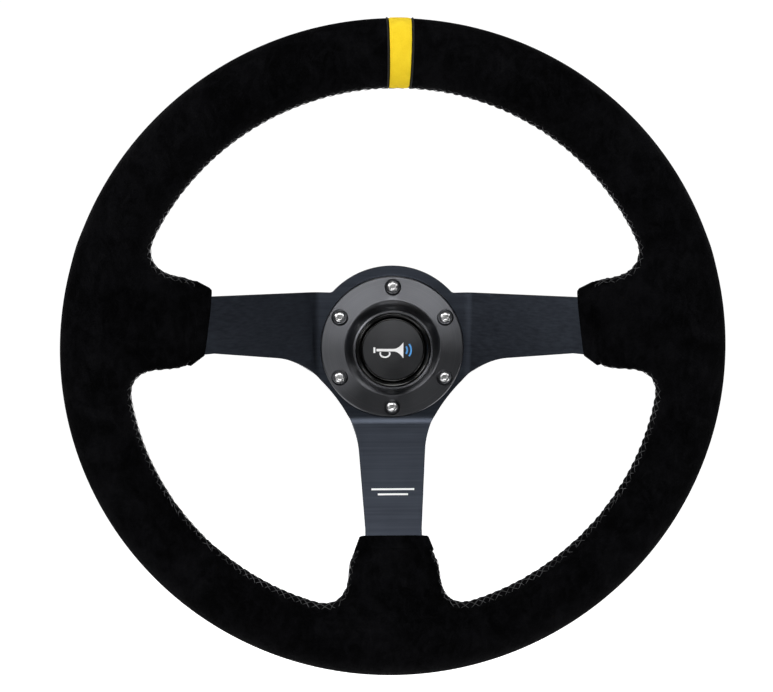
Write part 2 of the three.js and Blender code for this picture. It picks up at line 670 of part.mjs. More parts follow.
function wheelHub() {
  const chamfer = 0.6;
  const bore = NOSE_RADIUS + GAP;
  const splineBore = SPLINE_ROOT + GAP;
  const step = SPLINE_END + 2 * GAP;
  const front = PLATE_BACK - GAP;
  const grooveFloor = SLEEVE_OUTER - SNAP_RING_BITE - GAP;
  const body = turned([
    [splineBore, SLEEVE_START],
    [SLEEVE_OUTER - chamfer, SLEEVE_START],
    [SLEEVE_OUTER, SLEEVE_START + chamfer],
    [SLEEVE_OUTER, SNAP_RING_BACK - GAP],
    [grooveFloor, SNAP_RING_BACK - GAP],
    [grooveFloor, SNAP_RING_BACK + SNAP_RING_THICKNESS + GAP],
    [SLEEVE_OUTER, SNAP_RING_BACK + SNAP_RING_THICKNESS + GAP],
    [SLEEVE_OUTER, WHEEL_FLANGE_BACK],
    [WHEEL_FLANGE_RADIUS - chamfer, WHEEL_FLANGE_BACK],
    [WHEEL_FLANGE_RADIUS, WHEEL_FLANGE_BACK + chamfer],
    [WHEEL_FLANGE_RADIUS, front - chamfer],
    [WHEEL_FLANGE_RADIUS - chamfer, front],
    [bore, front],
    [bore, step],
    [splineBore, step],
  ]);
  const grooves = splineTeeth(SPLINE_COUNT, GAP, SPLINE_TIP + GAP, SLEEVE_START - OVERSHOOT, step);
  const ballHoles = ballAngles().map((degrees) => {
    const radius = BALL_RADIUS + BALL_HOLE_CLEARANCE;
    const hole = new THREE.CylinderGeometry(radius, radius, BALL_HOLE_LENGTH, BALL_STEPS);
    const [x, y] = onCircle(BALL_CIRCLE + BALL_RADIUS / 2, degrees);
    return toSolid(hole.rotateZ((degrees - 90) * DEG).translate(x, y, BALL_HEIGHT));
  });
  const threads = boltHoles(BOLT_CLEARANCE_RADIUS, WHEEL_FLANGE_BACK - OVERSHOOT, PLATE_BACK);
  return without(body, ...grooves, ...ballHoles, ...threads);
}

// The collar's cone drives the balls: its slope is their travel over the collar's stroke.
function releaseCollar() {
  const chamfer = 0.8;
  const slope = BALL_TRAVEL / COLLAR_STROKE;
  const coneLength = COLLAR_STROKE + GAP;
  const relief = COLLAR_BORE + slope * coneLength;
  return turned([
    [COLLAR_BORE, COLLAR_START],
    [COLLAR_BODY_RADIUS - chamfer, COLLAR_START],
    [COLLAR_BODY_RADIUS, COLLAR_START + chamfer],
    [COLLAR_BODY_RADIUS, COLLAR_GRIP_START],
    [COLLAR_GRIP_RADIUS - chamfer, COLLAR_GRIP_START],
    [COLLAR_GRIP_RADIUS, COLLAR_GRIP_START + chamfer],
    [COLLAR_GRIP_RADIUS, COLLAR_END - chamfer],
    [COLLAR_GRIP_RADIUS - chamfer, COLLAR_END],
    [SPRING_POCKET_RADIUS, COLLAR_END],
    [SPRING_POCKET_RADIUS, SPRING_POCKET_FLOOR],
    [COLLAR_BORE, SPRING_POCKET_FLOOR],
    [COLLAR_BORE, BALL_HEIGHT],
    [relief, BALL_HEIGHT - coneLength],
    [relief, COLLAR_START + COLLAR_LIP],
    [COLLAR_BORE, COLLAR_START + COLLAR_LIP],
  ]);
}

function snapRing() {
  const inner = SLEEVE_OUTER - SNAP_RING_BITE;
  const outer = SLEEVE_OUTER + SNAP_RING_STAND;
  const high = SNAP_RING_BACK + SNAP_RING_THICKNESS;
  const ring = turned([[inner, SNAP_RING_BACK], [outer, SNAP_RING_BACK], [outer, high], [inner, high]]);
  const half = SNAP_RING_OPENING / 2;
  const opening = wedge(90 - half, 90 + half, 0, COLLAR_START);
  return ring.subtract(opening);
}

place(columnHalf, "column_hub", columnHub(), "aluminium");
place(wheelHalf, "wheel_hub", wheelHub(), "aluminium");
place(wheelHalf, "release_collar", releaseCollar(), "anodised");
place(wheelHalf, "collar_snap_ring", snapRing(), "steel");

const collarSpring = spring(
  (SLEEVE_OUTER + SPRING_POCKET_RADIUS) / 2,
  COLLAR_SPRING_WIRE,
  SPRING_POCKET_FLOOR + GAP,
  WHEEL_FLANGE_BACK - GAP,
  COLLAR_SPRING_TURNS,
);
place(wheelHalf, "collar_spring", collarSpring, "steel");

ballAngles().forEach((degrees, i) => {
  const ball = toSolid(new THREE.SphereGeometry(BALL_RADIUS, BALL_STEPS, BALL_STEPS / 2));
  const [x, y] = onCircle(BALL_CIRCLE, degrees);
  place(wheelHalf, `lock_ball_${i + 1}`, ball, "zinc", [x, y, BALL_HEIGHT]);
});

// ---------------------------------------------------------------- horn button
const FLOOR_TOP = HOUSING_BACK + HOUSING_FLOOR;
const CONTACT_RADIUS = 7;
const CONTACT_THICKNESS = 0.8;
const CONTACT_TOP = FLOOR_TOP + GAP + CONTACT_THICKNESS;
const CAP_BACK = 71;
const CAP_SKIRT_BACK = 63;
const CAP_WALL = 1.4;
const FACE_SEAT = 73.8;
const HORN_SPRING_RADIUS = 12;
const HORN_SPRING_WIRE = 0.55; // radius
const HORN_SPRING_TURNS = 6;
const PLUNGER_RADIUS = 4;
const PLUNGER_HEAD_RADIUS = 8;
const PLUNGER_HEAD_HEIGHT = 2.7;
const CONTACT_CLEARANCE = 0.1; // left between the contacts at the end of the button's travel

const housing = turned([
  [0, HOUSING_BACK],
  [HOUSING_RADIUS, HOUSING_BACK],
  [HOUSING_RADIUS, RING_BACK],
  [HOUSING_LIP_RADIUS, RING_BACK],
  [HOUSING_LIP_RADIUS, HOUSING_LIP_FRONT],
  [HOUSING_RADIUS, HOUSING_LIP_FRONT],
  [HOUSING_RADIUS, HOUSING_FRONT],
  [HOUSING_BORE, HOUSING_FRONT],
  [HOUSING_BORE, FLOOR_TOP],
  [0, FLOOR_TOP],
]);
place(wheelHalf, "horn_housing", housing, "plastic");

const bezelEdge = 0.7;
const bezel = turned([
  [HOUSING_RADIUS, HOUSING_FRONT + GAP],
  [HOUSING_RADIUS, BEZEL_FRONT - bezelEdge],
  [HOUSING_RADIUS - bezelEdge, BEZEL_FRONT],
  [BEZEL_BORE + bezelEdge / 2, BEZEL_FRONT],
  [BEZEL_BORE, BEZEL_FRONT - bezelEdge],
  [BEZEL_BORE, HOUSING_FRONT + GAP],
]);
place(wheelHalf, "horn_bezel", bezel, "gloss");

const capLip = CAP_RADIUS - FACE_RADIUS - GAP;
const cap = turned([
  [0, CAP_BACK],
  [CAP_RADIUS - CAP_WALL, CAP_BACK],
  [CAP_RADIUS - CAP_WALL, CAP_SKIRT_BACK],
  [CAP_RADIUS, CAP_SKIRT_BACK],
  [CAP_RADIUS, CAP_FRONT - capLip / 2],
  [CAP_RADIUS - capLip / 2, CAP_FRONT],
  [CAP_RADIUS - capLip, CAP_FRONT],
  [CAP_RADIUS - capLip, FACE_SEAT],
  [0, FACE_SEAT],
]);
place(hornButton, "horn_cap", cap, "gloss");

const faceFront = CAP_FRONT - GAP / 3;
const face = turned([
  [0, FACE_SEAT + GAP],
  [FACE_RADIUS, FACE_SEAT + GAP],
  [FACE_RADIUS, faceFront - GAP],
  [FACE_RADIUS - GAP, faceFront],
  [0, faceFront],
]);
place(hornButton, "horn_face_disc", face, "face");

const plungerFoot = CONTACT_TOP + HORN_TRAVEL + CONTACT_CLEARANCE;
const plungerTop = CAP_BACK - GAP;
const plunger = turned([
  [0, plungerFoot],
  [PLUNGER_RADIUS, plungerFoot],
  [PLUNGER_RADIUS, plungerTop - PLUNGER_HEAD_HEIGHT],
  [PLUNGER_HEAD_RADIUS, plungerTop - PLUNGER_HEAD_HEIGHT],
  [PLUNGER_HEAD_RADIUS, plungerTop],
  [0, plungerTop],
]);
place(hornButton, "horn_plunger", plunger, "brass");

const hornSpring = spring(
  HORN_SPRING_RADIUS,
  HORN_SPRING_WIRE,
  FLOOR_TOP + GAP,
  CAP_BACK - GAP,
  HORN_SPRING_TURNS,
);
place(wheelHalf, "horn_spring", hornSpring, "steel");

const contact = rod(CONTACT_RADIUS, FLOOR_TOP + GAP, CONTACT_TOP, 0, 0, CONTACT_RADIUS, HUB_STEPS);
place(wheelHalf, "horn_contact", contact, "brass");

// The two spade terminals behind the housing, each with its latching hole.
const TAB_WIDTH = 6.3;
const TAB_THICKNESS = 0.8;
const TAB_LENGTH = 9;
const TAB_OFFSET = 6;
const LATCH_RADIUS = 0.9;
["signal", "ground"].forEach((name, i) => {
  const blade = toSolid(new THREE.BoxGeometry(TAB_THICKNESS, TAB_WIDTH, TAB_LENGTH));
  const latch = new THREE.CylinderGeometry(LATCH_RADIUS, LATCH_RADIUS, 2 * OVERSHOOT, HOLE_STEPS);
  const tab = blade.subtract(toSolid(latch.rotateZ(Math.PI / 2)));
  const height = HOUSING_BACK - GAP - TAB_LENGTH / 2;
  place(wheelHalf, `horn_terminal_${name}`, tab, "brass", [(2 * i - 1) * TAB_OFFSET, 0, height]);
});

// ---------------------------------------------------------------- stand the wheel up
group.rotation.x = Math.PI / 2;

export default group;
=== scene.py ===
import itertools
import math

import bmesh
import bpy
import numpy as np
from mathutils import Matrix, Vector


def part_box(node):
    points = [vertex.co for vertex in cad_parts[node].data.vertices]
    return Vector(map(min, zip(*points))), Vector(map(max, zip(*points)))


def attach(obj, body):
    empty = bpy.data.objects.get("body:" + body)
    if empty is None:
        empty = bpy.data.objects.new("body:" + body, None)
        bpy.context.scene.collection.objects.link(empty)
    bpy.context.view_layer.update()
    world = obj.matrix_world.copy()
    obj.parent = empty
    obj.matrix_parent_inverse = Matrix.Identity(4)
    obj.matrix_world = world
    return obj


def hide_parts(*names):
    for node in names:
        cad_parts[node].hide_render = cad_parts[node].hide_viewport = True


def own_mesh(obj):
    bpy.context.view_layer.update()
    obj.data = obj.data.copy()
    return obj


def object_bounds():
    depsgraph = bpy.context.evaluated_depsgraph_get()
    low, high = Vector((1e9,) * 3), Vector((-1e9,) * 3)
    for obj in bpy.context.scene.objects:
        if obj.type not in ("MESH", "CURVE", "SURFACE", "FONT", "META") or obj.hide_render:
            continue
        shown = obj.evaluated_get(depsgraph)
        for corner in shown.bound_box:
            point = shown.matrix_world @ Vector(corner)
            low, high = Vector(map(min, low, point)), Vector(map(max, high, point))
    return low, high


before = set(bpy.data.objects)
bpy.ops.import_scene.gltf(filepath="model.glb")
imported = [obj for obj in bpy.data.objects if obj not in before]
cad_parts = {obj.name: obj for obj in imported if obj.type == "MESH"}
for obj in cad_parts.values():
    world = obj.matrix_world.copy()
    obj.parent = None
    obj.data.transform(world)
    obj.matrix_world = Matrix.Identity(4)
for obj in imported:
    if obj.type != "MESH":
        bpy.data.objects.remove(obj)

# A suede-covered steering wheel on a ball-lock quick release.
#
# Pieces are drawn in the wheel's own space, in millimetres: x to the right, y up, and the height h
# from the column's mounting face out toward the driver. place() turns them into the row frame.
MM = 0.001
CAD_LOW, CAD_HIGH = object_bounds()


def span(node):
    """The lowest and highest corner of a CAD node, in wheel space."""
    low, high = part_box(node)
    return np.array([low.x, low.z, -high.y]) / MM, np.array([high.x, high.z, -low.y]) / MM


def place(points):
    """Wheel space in millimetres to the row frame in metres."""
    p = np.asarray(points, float)
    return np.stack([p[..., 0], -p[..., 2], p[..., 1]], -1) * MM


# ---------------------------------------------------------------- sizes, in millimetres
RIM_OUTER = CAD_HIGH.z / MM
RIM_LOW, RIM_HIGH = span("suede_upper_left")
RIM_HEIGHT = (RIM_LOW[2] + RIM_HIGH[2]) / 2
HALF_DEPTH = (RIM_HIGH[2] - RIM_LOW[2]) / 2
HALF_WIDTH = 16.8  # half of the rim's section along the wheel's radius
RIM_RADIUS = RIM_OUTER - HALF_WIDTH
CORE_WIDTH = 10.0

PLATE_LOW, PLATE_HIGH = span("spoke_plate")
PLATE_THICKNESS = 4.0
MIDDLE_AT_HUB = PLATE_LOW[2] + PLATE_THICKNESS / 2
MIDDLE_AT_RIM = PLATE_HIGH[2] - PLATE_THICKNESS / 2
PLATE_RADIUS = PLATE_HIGH[1]
PLATE_BORE = 21.3
BEND_START = 41.0
BEND_RADIUS = 12.0
BEND_ANGLE = math.radians(31.8)
ARM_END = 156.0  # inside the rim
CUFF_START = 99.0
SIDE_ARM_LOW = 1.6
SIDE_ARM_HIGH = 32.4
SIDE_ARM_HIGH_AT_HUB = 30.8
PLATE_FILLET = 3.0
BOTTOM_ARM_HALF = 15.9
BOTTOM_ARM_FOOT = np.array([19.2, -60.0])
SIDE_ARM_FOOT = np.array([66.0, -4.6])
FOOT_PULL = 20.5
PRINT_LIFT = (-0.02, 0.06)  # a painted line's underside and top, from the sheet's face

BOLT_CIRCLE_RADIUS = 35.0
BOLT_HOLE = 2.75
TINY = 1e-6


# ---------------------------------------------------------------- mesh helpers
def rounded(profile, radius=0.4, steps=3):
    """A turned profile with its corners rounded. A third value in a point is that corner's own radius."""
    made = []
    count = len(profile)
    for i, point in enumerate(profile):
        corner = np.array(point[:2], float)
        own = point[2] if len(point) > 2 else radius
        before = np.array(profile[i - 1][:2], float) - corner
        after = np.array(profile[(i + 1) % count][:2], float) - corner
        reach = min(own, 0.45 * np.linalg.norm(before), 0.45 * np.linalg.norm(after))
        if corner[0] < TINY or reach < TINY:
            made.append(tuple(corner))
            continue
        start = corner + before / np.linalg.norm(before) * reach
        end = corner + after / np.linalg.norm(after) * reach
        for k in range(steps + 1):
            s = k / steps
            made.append(tuple((1 - s) ** 2 * start + 2 * s * (1 - s) * corner + s * s * end))
    return made


def turned(profile, steps=144, centre=(0.0, 0.0), ripple=None):
    """Points and faces of a profile of [radius, height] points, counter-clockwise, turned round an axis."""
    points, faces, rows = [], [], []
    angles = [2 * math.pi * i / steps for i in range(steps)]
    for radius, height in profile:
        if radius < TINY:
            rows.append([len(points)] * steps)
            points.append((centre[0], centre[1], height))
            continue
        rows.append(list(range(len(points), len(points) + steps)))
        for angle in angles:
            r = radius if ripple is None else ripple(angle, radius)
            points.append((centre[0] + r * math.cos(angle), centre[1] + r * math.sin(angle), height))
    closing = rows[:1] if profile[0][0] > TINY else []
    for low, high in zip(rows, rows[1:] + closing):
        for i in range(steps):
            j = (i + 1) % steps
            face = tuple(dict.fromkeys((low[i], low[j], high[j], high[i])))
            if len(face) > 2:
                faces.append(face)
    return points, faces


def tube(path, radius, sides=8, closed=False):
    """Points and faces of a round tube along a path, with flat ends unless it is closed."""
    path = np.asarray(path, float)
    ahead = np.roll(path, -1, axis=0) - np.roll(path, 1, axis=0)
    if not closed:
        ahead[0], ahead[-1] = path[1] - path[0], path[-1] - path[-2]
    ahead /= np.linalg.norm(ahead, axis=1)[:, None]
    side = np.cross(ahead[0], [0.3, 0.2, 1.0])
    points, faces = [], []
    for centre, along in zip(path, ahead):
        side = side - along * (side @ along)
        side /= np.linalg.norm(side)
        other = np.cross(along, side)
        for k in range(sides):
            turn = 2 * math.pi * k / sides
            points.append(centre + radius * (math.cos(turn) * side + math.sin(turn) * other))
    count = len(path)
    for i in range(count if closed else count - 1):
        for k in range(sides):
            a, b = i * sides, (i + 1) % count * sides
            m = (k + 1) % sides
            faces.append((a + k, a + m, b + m, b + k))
    if not closed:
        faces.append(tuple(reversed(range(sides))))
        faces.append(tuple(range((count - 1) * sides, count * sides)))
    return points, faces


def oblong(inner, outer, low, high):
    """A plain rectangular profile between two radii."""
    return [(inner, low), (outer, low), (outer, high), (inner, high)]


def slab(bottom, top):
    """Points and faces of a solid between two sets of four corners."""
    faces = [(3, 2, 1, 0), (4, 5, 6, 7)]
    faces += [(k, (k + 1) % 4, (k + 1) % 4 + 4, k + 4) for k in range(4)]
    return [*bottom, *top], faces


def skin(rows, count, closed):
    """Faces between rows of count points, each row joined to the next."""
    faces = []
    for i in range(rows if closed else rows - 1):
        a, b = i * count, (i + 1) % rows * count
        for k in range(count):
            m = (k + 1) % count
            faces.append((a + k, b + k, b + m, a + m))
    return faces


def merged(shapes):
    """Several shapes as the points and faces of one."""
    points, faces = [], []
    for some_points, some_faces in shapes:
        start = len(points)
        points.extend(some_points)
        faces.extend(tuple(i + start for i in face) for face in some_faces)
    return points, faces


def new_object(name, shape, materials, smooth=35):
    """A Blender object from wheel-space points and faces, shaded smooth up to an angle in degrees."""
    points, faces = shape
    mesh = bpy.data.meshes.new(name)
    mesh.from_pydata([tuple(p) for p in place(points)], [], [tuple(f) for f in faces])
    for material in materials if isinstance(materials, (list, tuple)) else [materials]:
        mesh.materials.append(material)
    obj = bpy.data.objects.new(name, mesh)
    bpy.context.scene.collection.objects.link(obj)
    if smooth:
        shade(obj, smooth)
    return obj


def shade(obj, degrees):
    """Smooth shading up to an angle, with normals weighted by the faces' areas."""
    obj.data.polygons.foreach_set("use_smooth", [True] * len(obj.data.polygons))
    obj.data.set_sharp_from_angle(angle=math.radians(degrees))
    if "normals" not in obj.modifiers:
        weighted = obj.modifiers.new("normals", "WEIGHTED_NORMAL")
        weighted.keep_sharp = True
        weighted.weight = 100
    obj.data.update()


def bake_modifiers(obj):
    """Replaces the object's mesh with what its modifiers make of it."""
    bpy.context.view_layer.update()
    evaluated = obj.evaluated_get(bpy.context.evaluated_depsgraph_get())
    mesh = bpy.data.meshes.new_from_object(evaluated)
    obj.modifiers.clear()
    obj.data = mesh


def combine(obj, shape, operation, smooth=35):
    """Cuts a shape out of the object, or joins it on."""
    other = new_object("cutter", shape, [], smooth=0)
    obj.modifiers.clear()
    boolean = obj.modifiers.new("combine", "BOOLEAN")
    boolean.operation = operation
    boolean.solver = "EXACT"
    boolean.use_self = False
    boolean.object = other
    bake_modifiers(obj)
    bpy.data.objects.remove(other)
    shade(obj, smooth)


def finish_piece(obj, body, replaces=()):
    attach(obj, body)
    if replaces:
        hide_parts(*replaces)


def piece(name, shape, material, body, replaces=(), smooth=35):
    """A new object that needs no more work, finished at once."""
    obj = new_object(name, shape, material, smooth)
    finish_piece(obj, body, replaces)
    return obj


def polar(radius, degrees):
    angle = math.radians(degrees)
    return radius * math.cos(angle), radius * math.sin(angle)


def bolt_angles():
    return [90 - 60 * i for i in range(6)]


# ---------------------------------------------------------------- materials
class Nodes:
    """A short way to write a node tree."""

    def __init__(self, name):
        self.material = bpy.data.materials.new(name)
        self.material.use_nodes = True
        self.tree = self.material.node_tree
        self.shader = self.tree.nodes["Principled BSDF"]
        self.place = self.add("ShaderNodeTexCoord").outputs["Object"]

    def add(self, kind, **settings):
        node = self.tree.nodes.new(kind)
        for key, value in settings.items():
            setattr(node, key, value)
        return node

    def link(self, a, b):
        self.tree.links.new(a, b)

    def math(self, operation, *values):
        node = self.add("ShaderNodeMath", operation=operation)
        for socket, value in zip(node.inputs, values):
            self.link(value, socket)
        return node.outputs[0]

    def stretched(self, scale):
        node = self.add("ShaderNodeMapping")
        node.inputs["Scale"].default_value = scale
        self.link(self.place, node.inputs["Vector"])
        return node.outputs["Vector"]

    def noise(self, scale, detail=4.0, roughness=0.55, vector=None, distortion=0.0):
        node = self.add("ShaderNodeTexNoise")
        node.inputs["Scale"].default_value = scale
        node.inputs["Detail"].default_value = detail
        node.inputs["Roughness"].default_value = roughness
        node.inputs["Distortion"].default_value = distortion
        self.link(vector or self.place, node.inputs["Vector"])
        return node.outputs["Fac"]

    def ramp(self, value, low, high, dark, light):
        """A value between low and high as a colour or grey between dark and light."""
        node = self.add("ShaderNodeValToRGB")
        first, last = node.color_ramp.elements
        first.position, last.position = low, high
        first.color, last.color = colour(dark), colour(light)
        self.link(value, node.inputs["Fac"])
        return node.outputs["Color"]

    def mixed(self, share, a, b):
        node = self.add("ShaderNodeMix", data_type="RGBA")
        if isinstance(share, float):
            node.inputs["Factor"].default_value = share
        else:
            self.link(share, node.inputs["Factor"])
        for name, value in (("A", a), ("B", b)):
            socket = next(s for s in node.inputs if s.name == name and s.type == "RGBA")
            if isinstance(value, bpy.types.NodeSocket):
                self.link(value, socket)
            else:
                socket.default_value = colour(value)
        return next(s for s in node.outputs if s.type == "RGBA")

    def bump(self, height, distance, strength=1.0, after=None):
        node = self.add("ShaderNodeBump")
        node.inputs["Strength"].default_value = strength
        node.inputs["Distance"].default_value = distance
        self.link(height, node.inputs["Height"])
        if after:
            self.link(after, node.inputs["Normal"])
        return node.outputs["Normal"]

    def set(self, **values):
        """Sets or links the shader's own sockets, by name with _ for a space."""
        for key, value in values.items():
            socket = self.shader.inputs[key.replace("_", " ")]
            if isinstance(value, bpy.types.NodeSocket):
                self.link(value, socket)
            elif socket.type == "RGBA":
                socket.default_value = colour(value)
            else:
                socket.default_value = value
        return self.material


def colour(value):
    """A grey or an RGB triple, linear, as RGBA."""
    if isinstance(value, (int, float)):
        return (value, value, value, 1.0)
    return (*value, 1.0)


def suede(name, dark, light, nap_tint, sheen):
    """Napped leather: brushed patches, fibres and a soft sheen."""
    n = Nodes(name)
    patches = n.noise(38, detail=6, roughness=0.66, distortion=0.8)
    long = n.stretched((170.0, 170.0, 90.0))
    strokes = n.noise(1.0, detail=4, roughness=0.62, vector=long, distortion=1.2)
    fibres = n.noise(1500, detail=2, roughness=0.7)
    base = n.ramp(patches, 0.43, 0.62, dark, light)
    base = n.mixed(0.5, base, n.ramp(strokes, 0.42, 0.66, dark, light))
    base = n.mixed(0.3, base, n.ramp(fibres, 0.35, 0.7, dark, light))
    nap = n.bump(fibres, 0.00035, 0.7)
    nap = n.bump(strokes, 0.0006, 0.45, after=nap)
    return n.set(
        Base_Color=base,
        Roughness=n.ramp(patches, 0.3, 0.7, 1.0, 0.9),
        Normal=nap,
        Specular_IOR_Level=0.02,
        Sheen_Weight=sheen,
        Sheen_Roughness=0.45,
        Sheen_Tint=nap_tint,
    )


def brushed(name, dark, light, roughness, grain=(14.0, 400.0, 900.0), bump=0.00004):
    """Metal brushed along x."""
    n = Nodes(name)
    lines = n.noise(1.0, detail=5, roughness=0.6, vector=n.stretched(grain))
    cloud = n.noise(26, detail=3)
    tone = n.mixed(0.35, n.ramp(lines, 0.32, 0.7, dark, light), n.ramp(cloud, 0.35, 0.68, dark, light))
    rough = n.mixed(0.5, n.ramp(lines, 0.3, 0.72, roughness - 0.07, roughness + 0.08), roughness)
    return n.set(
        Base_Color=tone,
        Metallic=1.0,
        Roughness=rough,
        Normal=n.bump(lines, bump, 0.6),
    )


LATHE_RINGS = 2600.0  # scale of the noise across a turned face


def turned_metal(name, dark, light, roughness, bump=0.00002, metallic=1.0, anisotropic=0.0):
    """Metal with the fine rings that a lathe leaves, and soft clouding."""
    n = Nodes(name)
    split = n.add("ShaderNodeSeparateXYZ")
    n.link(n.place, split.inputs[0])
    x, y, z = split.outputs
    rings = n.add("ShaderNodeCombineXYZ")
    n.link(n.math("SQRT", n.math("ADD", n.math("MULTIPLY", x, x), n.math("MULTIPLY", z, z))), rings.inputs[0])
    n.link(y, rings.inputs[1])
    lines = n.noise(LATHE_RINGS, detail=2, roughness=0.6, vector=rings.outputs[0])
    cloud = n.noise(45, detail=4)
    tone = n.mixed(0.4, n.ramp(lines, 0.3, 0.7, dark, light), n.ramp(cloud, 0.35, 0.7, dark, light))
    rough = n.ramp(cloud, 0.3, 0.75, roughness - 0.05, roughness + 0.07)
    if anisotropic:
        around = n.add("ShaderNodeTangent", direction_type="RADIAL", axis="Y")
        n.set(Anisotropic=anisotropic, Tangent=around.outputs[0])
    return n.set(Base_Color=tone, Metallic=metallic, Roughness=rough, Normal=n.bump(lines, bump, 0.5))


def plastic(name, dark, light, roughness, coat=0.0, grain=900.0, bump=0.00003):
    """Moulded plastic with a fine spark-eroded grain."""
    n = Nodes(name)
    pits = n.noise(grain, detail=3)
    cloud = n.noise(60, detail=3)
    return n.set(
        Base_Color=n.ramp(cloud, 0.35, 0.7, dark, light),
        Roughness=n.ramp(pits, 0.3, 0.7, max(roughness - 0.04, 0.02), roughness + 0.05),
        Normal=n.bump(pits, bump, 0.4),
        Coat_Weight=coat,
        Coat_Roughness=0.06,
    )


# The brightness of SUEDE, YELLOW, ANODISED and FACE comes in part from the same fit as LIGHTS.
SUEDE = suede(
    "suede_black", (0.00022, 0.00022, 0.0003), (0.0040, 0.0040, 0.0047), (0.5, 0.48, 0.58), 0.006
)
YELLOW = suede("suede_yellow", (0.78, 0.54, 0.019), (0.89, 0.65, 0.032), (1.0, 0.95, 0.7), 0.05)
FOLD = plastic("suede_fold", 0.0011, 0.0025, 0.9)
THREAD = plastic("thread", (0.012, 0.012, 0.013), (0.075, 0.075, 0.080), 0.85, grain=2500, bump=0.0001)
ANODISED = brushed("anodised_black", (0.032, 0.036, 0.047), (0.049, 0.057, 0.072), 0.38)
RING = turned_metal("ring_black", (0.086, 0.088, 0.096), (0.120, 0.122, 0.131), 0.38, anisotropic=0.75)
ZINC = turned_metal("zinc_screw", 0.66, 0.88, 0.30)
STEEL = turned_metal("steel", 0.30, 0.42, 0.35)
SPRING = brushed("spring_steel", 0.16, 0.26, 0.32, grain=(300.0, 300.0, 300.0))
BALL = turned_metal("ball_steel", 0.66, 0.74, 0.10, bump=0.000004)
HUB_METAL = turned_metal("aluminium_hub", 0.36, 0.50, 0.33)
COLLAR = turned_metal("collar_black", 0.018, 0.034, 0.36)
BRASS = turned_metal("brass", (0.42, 0.27, 0.09), (0.60, 0.40, 0.15), 0.30)
HOUSING = plastic("plastic_black", 0.010, 0.018, 0.5)
GLOSS = plastic("gloss_black", 0.0020, 0.0034, 0.12, coat=0.15, bump=0.000006)
FACE = turned_metal("horn_face", (0.052, 0.053, 0.056), (0.070, 0.071, 0.075), 0.36, metallic=0.9)
WHITE_PRINT = plastic("white_print", 0.80, 0.88, 0.45)
BLUE_PRINT = plastic("blue_print", (0.06, 0.26, 0.60), (0.08, 0.32, 0.70), 0.45)


# ---------------------------------------------------------------- the arms' bend
STRAIGHT_RISE = MIDDLE_AT_RIM - MIDDLE_AT_HUB - 2 * BEND_RADIUS * (1 - math.cos(BEND_ANGLE))
BEND_RUN = BEND_RADIUS * math.sin(BEND_ANGLE)
BEND_END = BEND_START + 2 * BEND_RUN + STRAIGHT_RISE / math.tan(BEND_ANGLE)


def arm_middle(t):
    """Height and slope of the middle of an arm's sheet at distances from the wheel's axis."""
    t = np.asarray(t, float)
    first = np.clip(t - BEND_START, 0, BEND_RUN)
    last = np.clip(BEND_END - t, 0, BEND_RUN)
    straight = np.clip(t - BEND_START - BEND_RUN, 0, BEND_END - BEND_START - 2 * BEND_RUN)
    height = MIDDLE_AT_HUB + BEND_RADIUS - np.sqrt(BEND_RADIUS**2 - first**2)
    height = height + straight * math.tan(BEND_ANGLE)
    passed = t > BEND_END - BEND_RUN
    height = np.where(passed, MIDDLE_AT_RIM - BEND_RADIUS + np.sqrt(BEND_RADIUS**2 - last**2), height)
    slope = np.where(passed, np.arcsin(last / BEND_RADIUS), np.arcsin(first / BEND_RADIUS))
    return height, slope


# ---------------------------------------------------------------- the suede cover's form
CUFF_EDGE = 3.6  # rounding of a cuff's long edges
CUFF_NOSE_EDGE = 1.2  # the same at its open end
CUFF_CORNER = 1.8  # rounding of its outline
CUFF_HALF_THICKNESS = 6.4
CUFF_BLEND = 17.0
HEM_WIDTH = 5.6  # the folded edge at a cuff's open end
HEM_PROUD = 0.55
HEM_CORNER = 3.0
HEM_RUFFLE = 0.18
# The outlines of the cuffs less CUFF_CORNER, as [along the arm, across it]. They were listed, and
# corrected against edges measured in the photo.
SIDE_CUFF_UPPER = [
    (103.5, 35.4), (106.9, 38.2), (109.6, 39.8), (112.2, 41.1), (117.5, 42.4), (128.0, 46.4), (150.0, 56.0),
]
SIDE_CUFF_LOWER = [(107.7, 3.0), (110.6, 0.8), (113.3, -1.6), (117.0, -2.1), (150.0, -2.4)]
BOTTOM_CUFF_SIDE = [(105.7, 17.1), (111.0, 19.8), (116.0, 22.5), (128.0, 24.0), (150.0, 27.0)]
SIDE_CUFF = (SIDE_CUFF_LOWER, SIDE_CUFF_UPPER)
BOTTOM_CUFF = ([(t, -half) for t, half in BOTTOM_CUFF_SIDE], BOTTOM_CUFF_SIDE)
ARMS = {
    "right": (np.array([1.0, 0.0]), np.array([0.0, 1.0]), SIDE_CUFF),
    "left": (np.array([-1.0, 0.0]), np.array([0.0, 1.0]), SIDE_CUFF),
    "bottom": (np.array([0.0, -1.0]), np.array([1.0, 0.0]), BOTTOM_CUFF),
}


def polygon_distance(points, corners):
    """Distance from 2D points to a polygon, below zero inside it."""
    corners = np.asarray(corners, float)
    best = np.full(len(points), np.inf)
    inside = np.zeros(len(points), bool)
    for a, b in zip(corners, np.roll(corners, -1, axis=0)):
        edge, out = b - a, points - a
        share = np.clip(out @ edge / (edge @ edge), 0, 1)
        best = np.minimum(best, np.linalg.norm(out - share[:, None] * edge, axis=1))
        if abs(edge[1]) > TINY:
            crosses = (a[1] > points[:, 1]) != (b[1] > points[:, 1])
            inside ^= crosses & (points[:, 0] < edge[0] * (points[:, 1] - a[1]) / edge[1] + a[0])
    return np.where(inside, -best, best)


def arm_nose(outline):
    """How far along the arm a cuff's open end lies, by distance across the arm."""
    low, high = outline[0][0], outline[1][0]
    return [low[1], high[1]], [low[0] - CUFF_CORNER, high[0] - CUFF_CORNER]


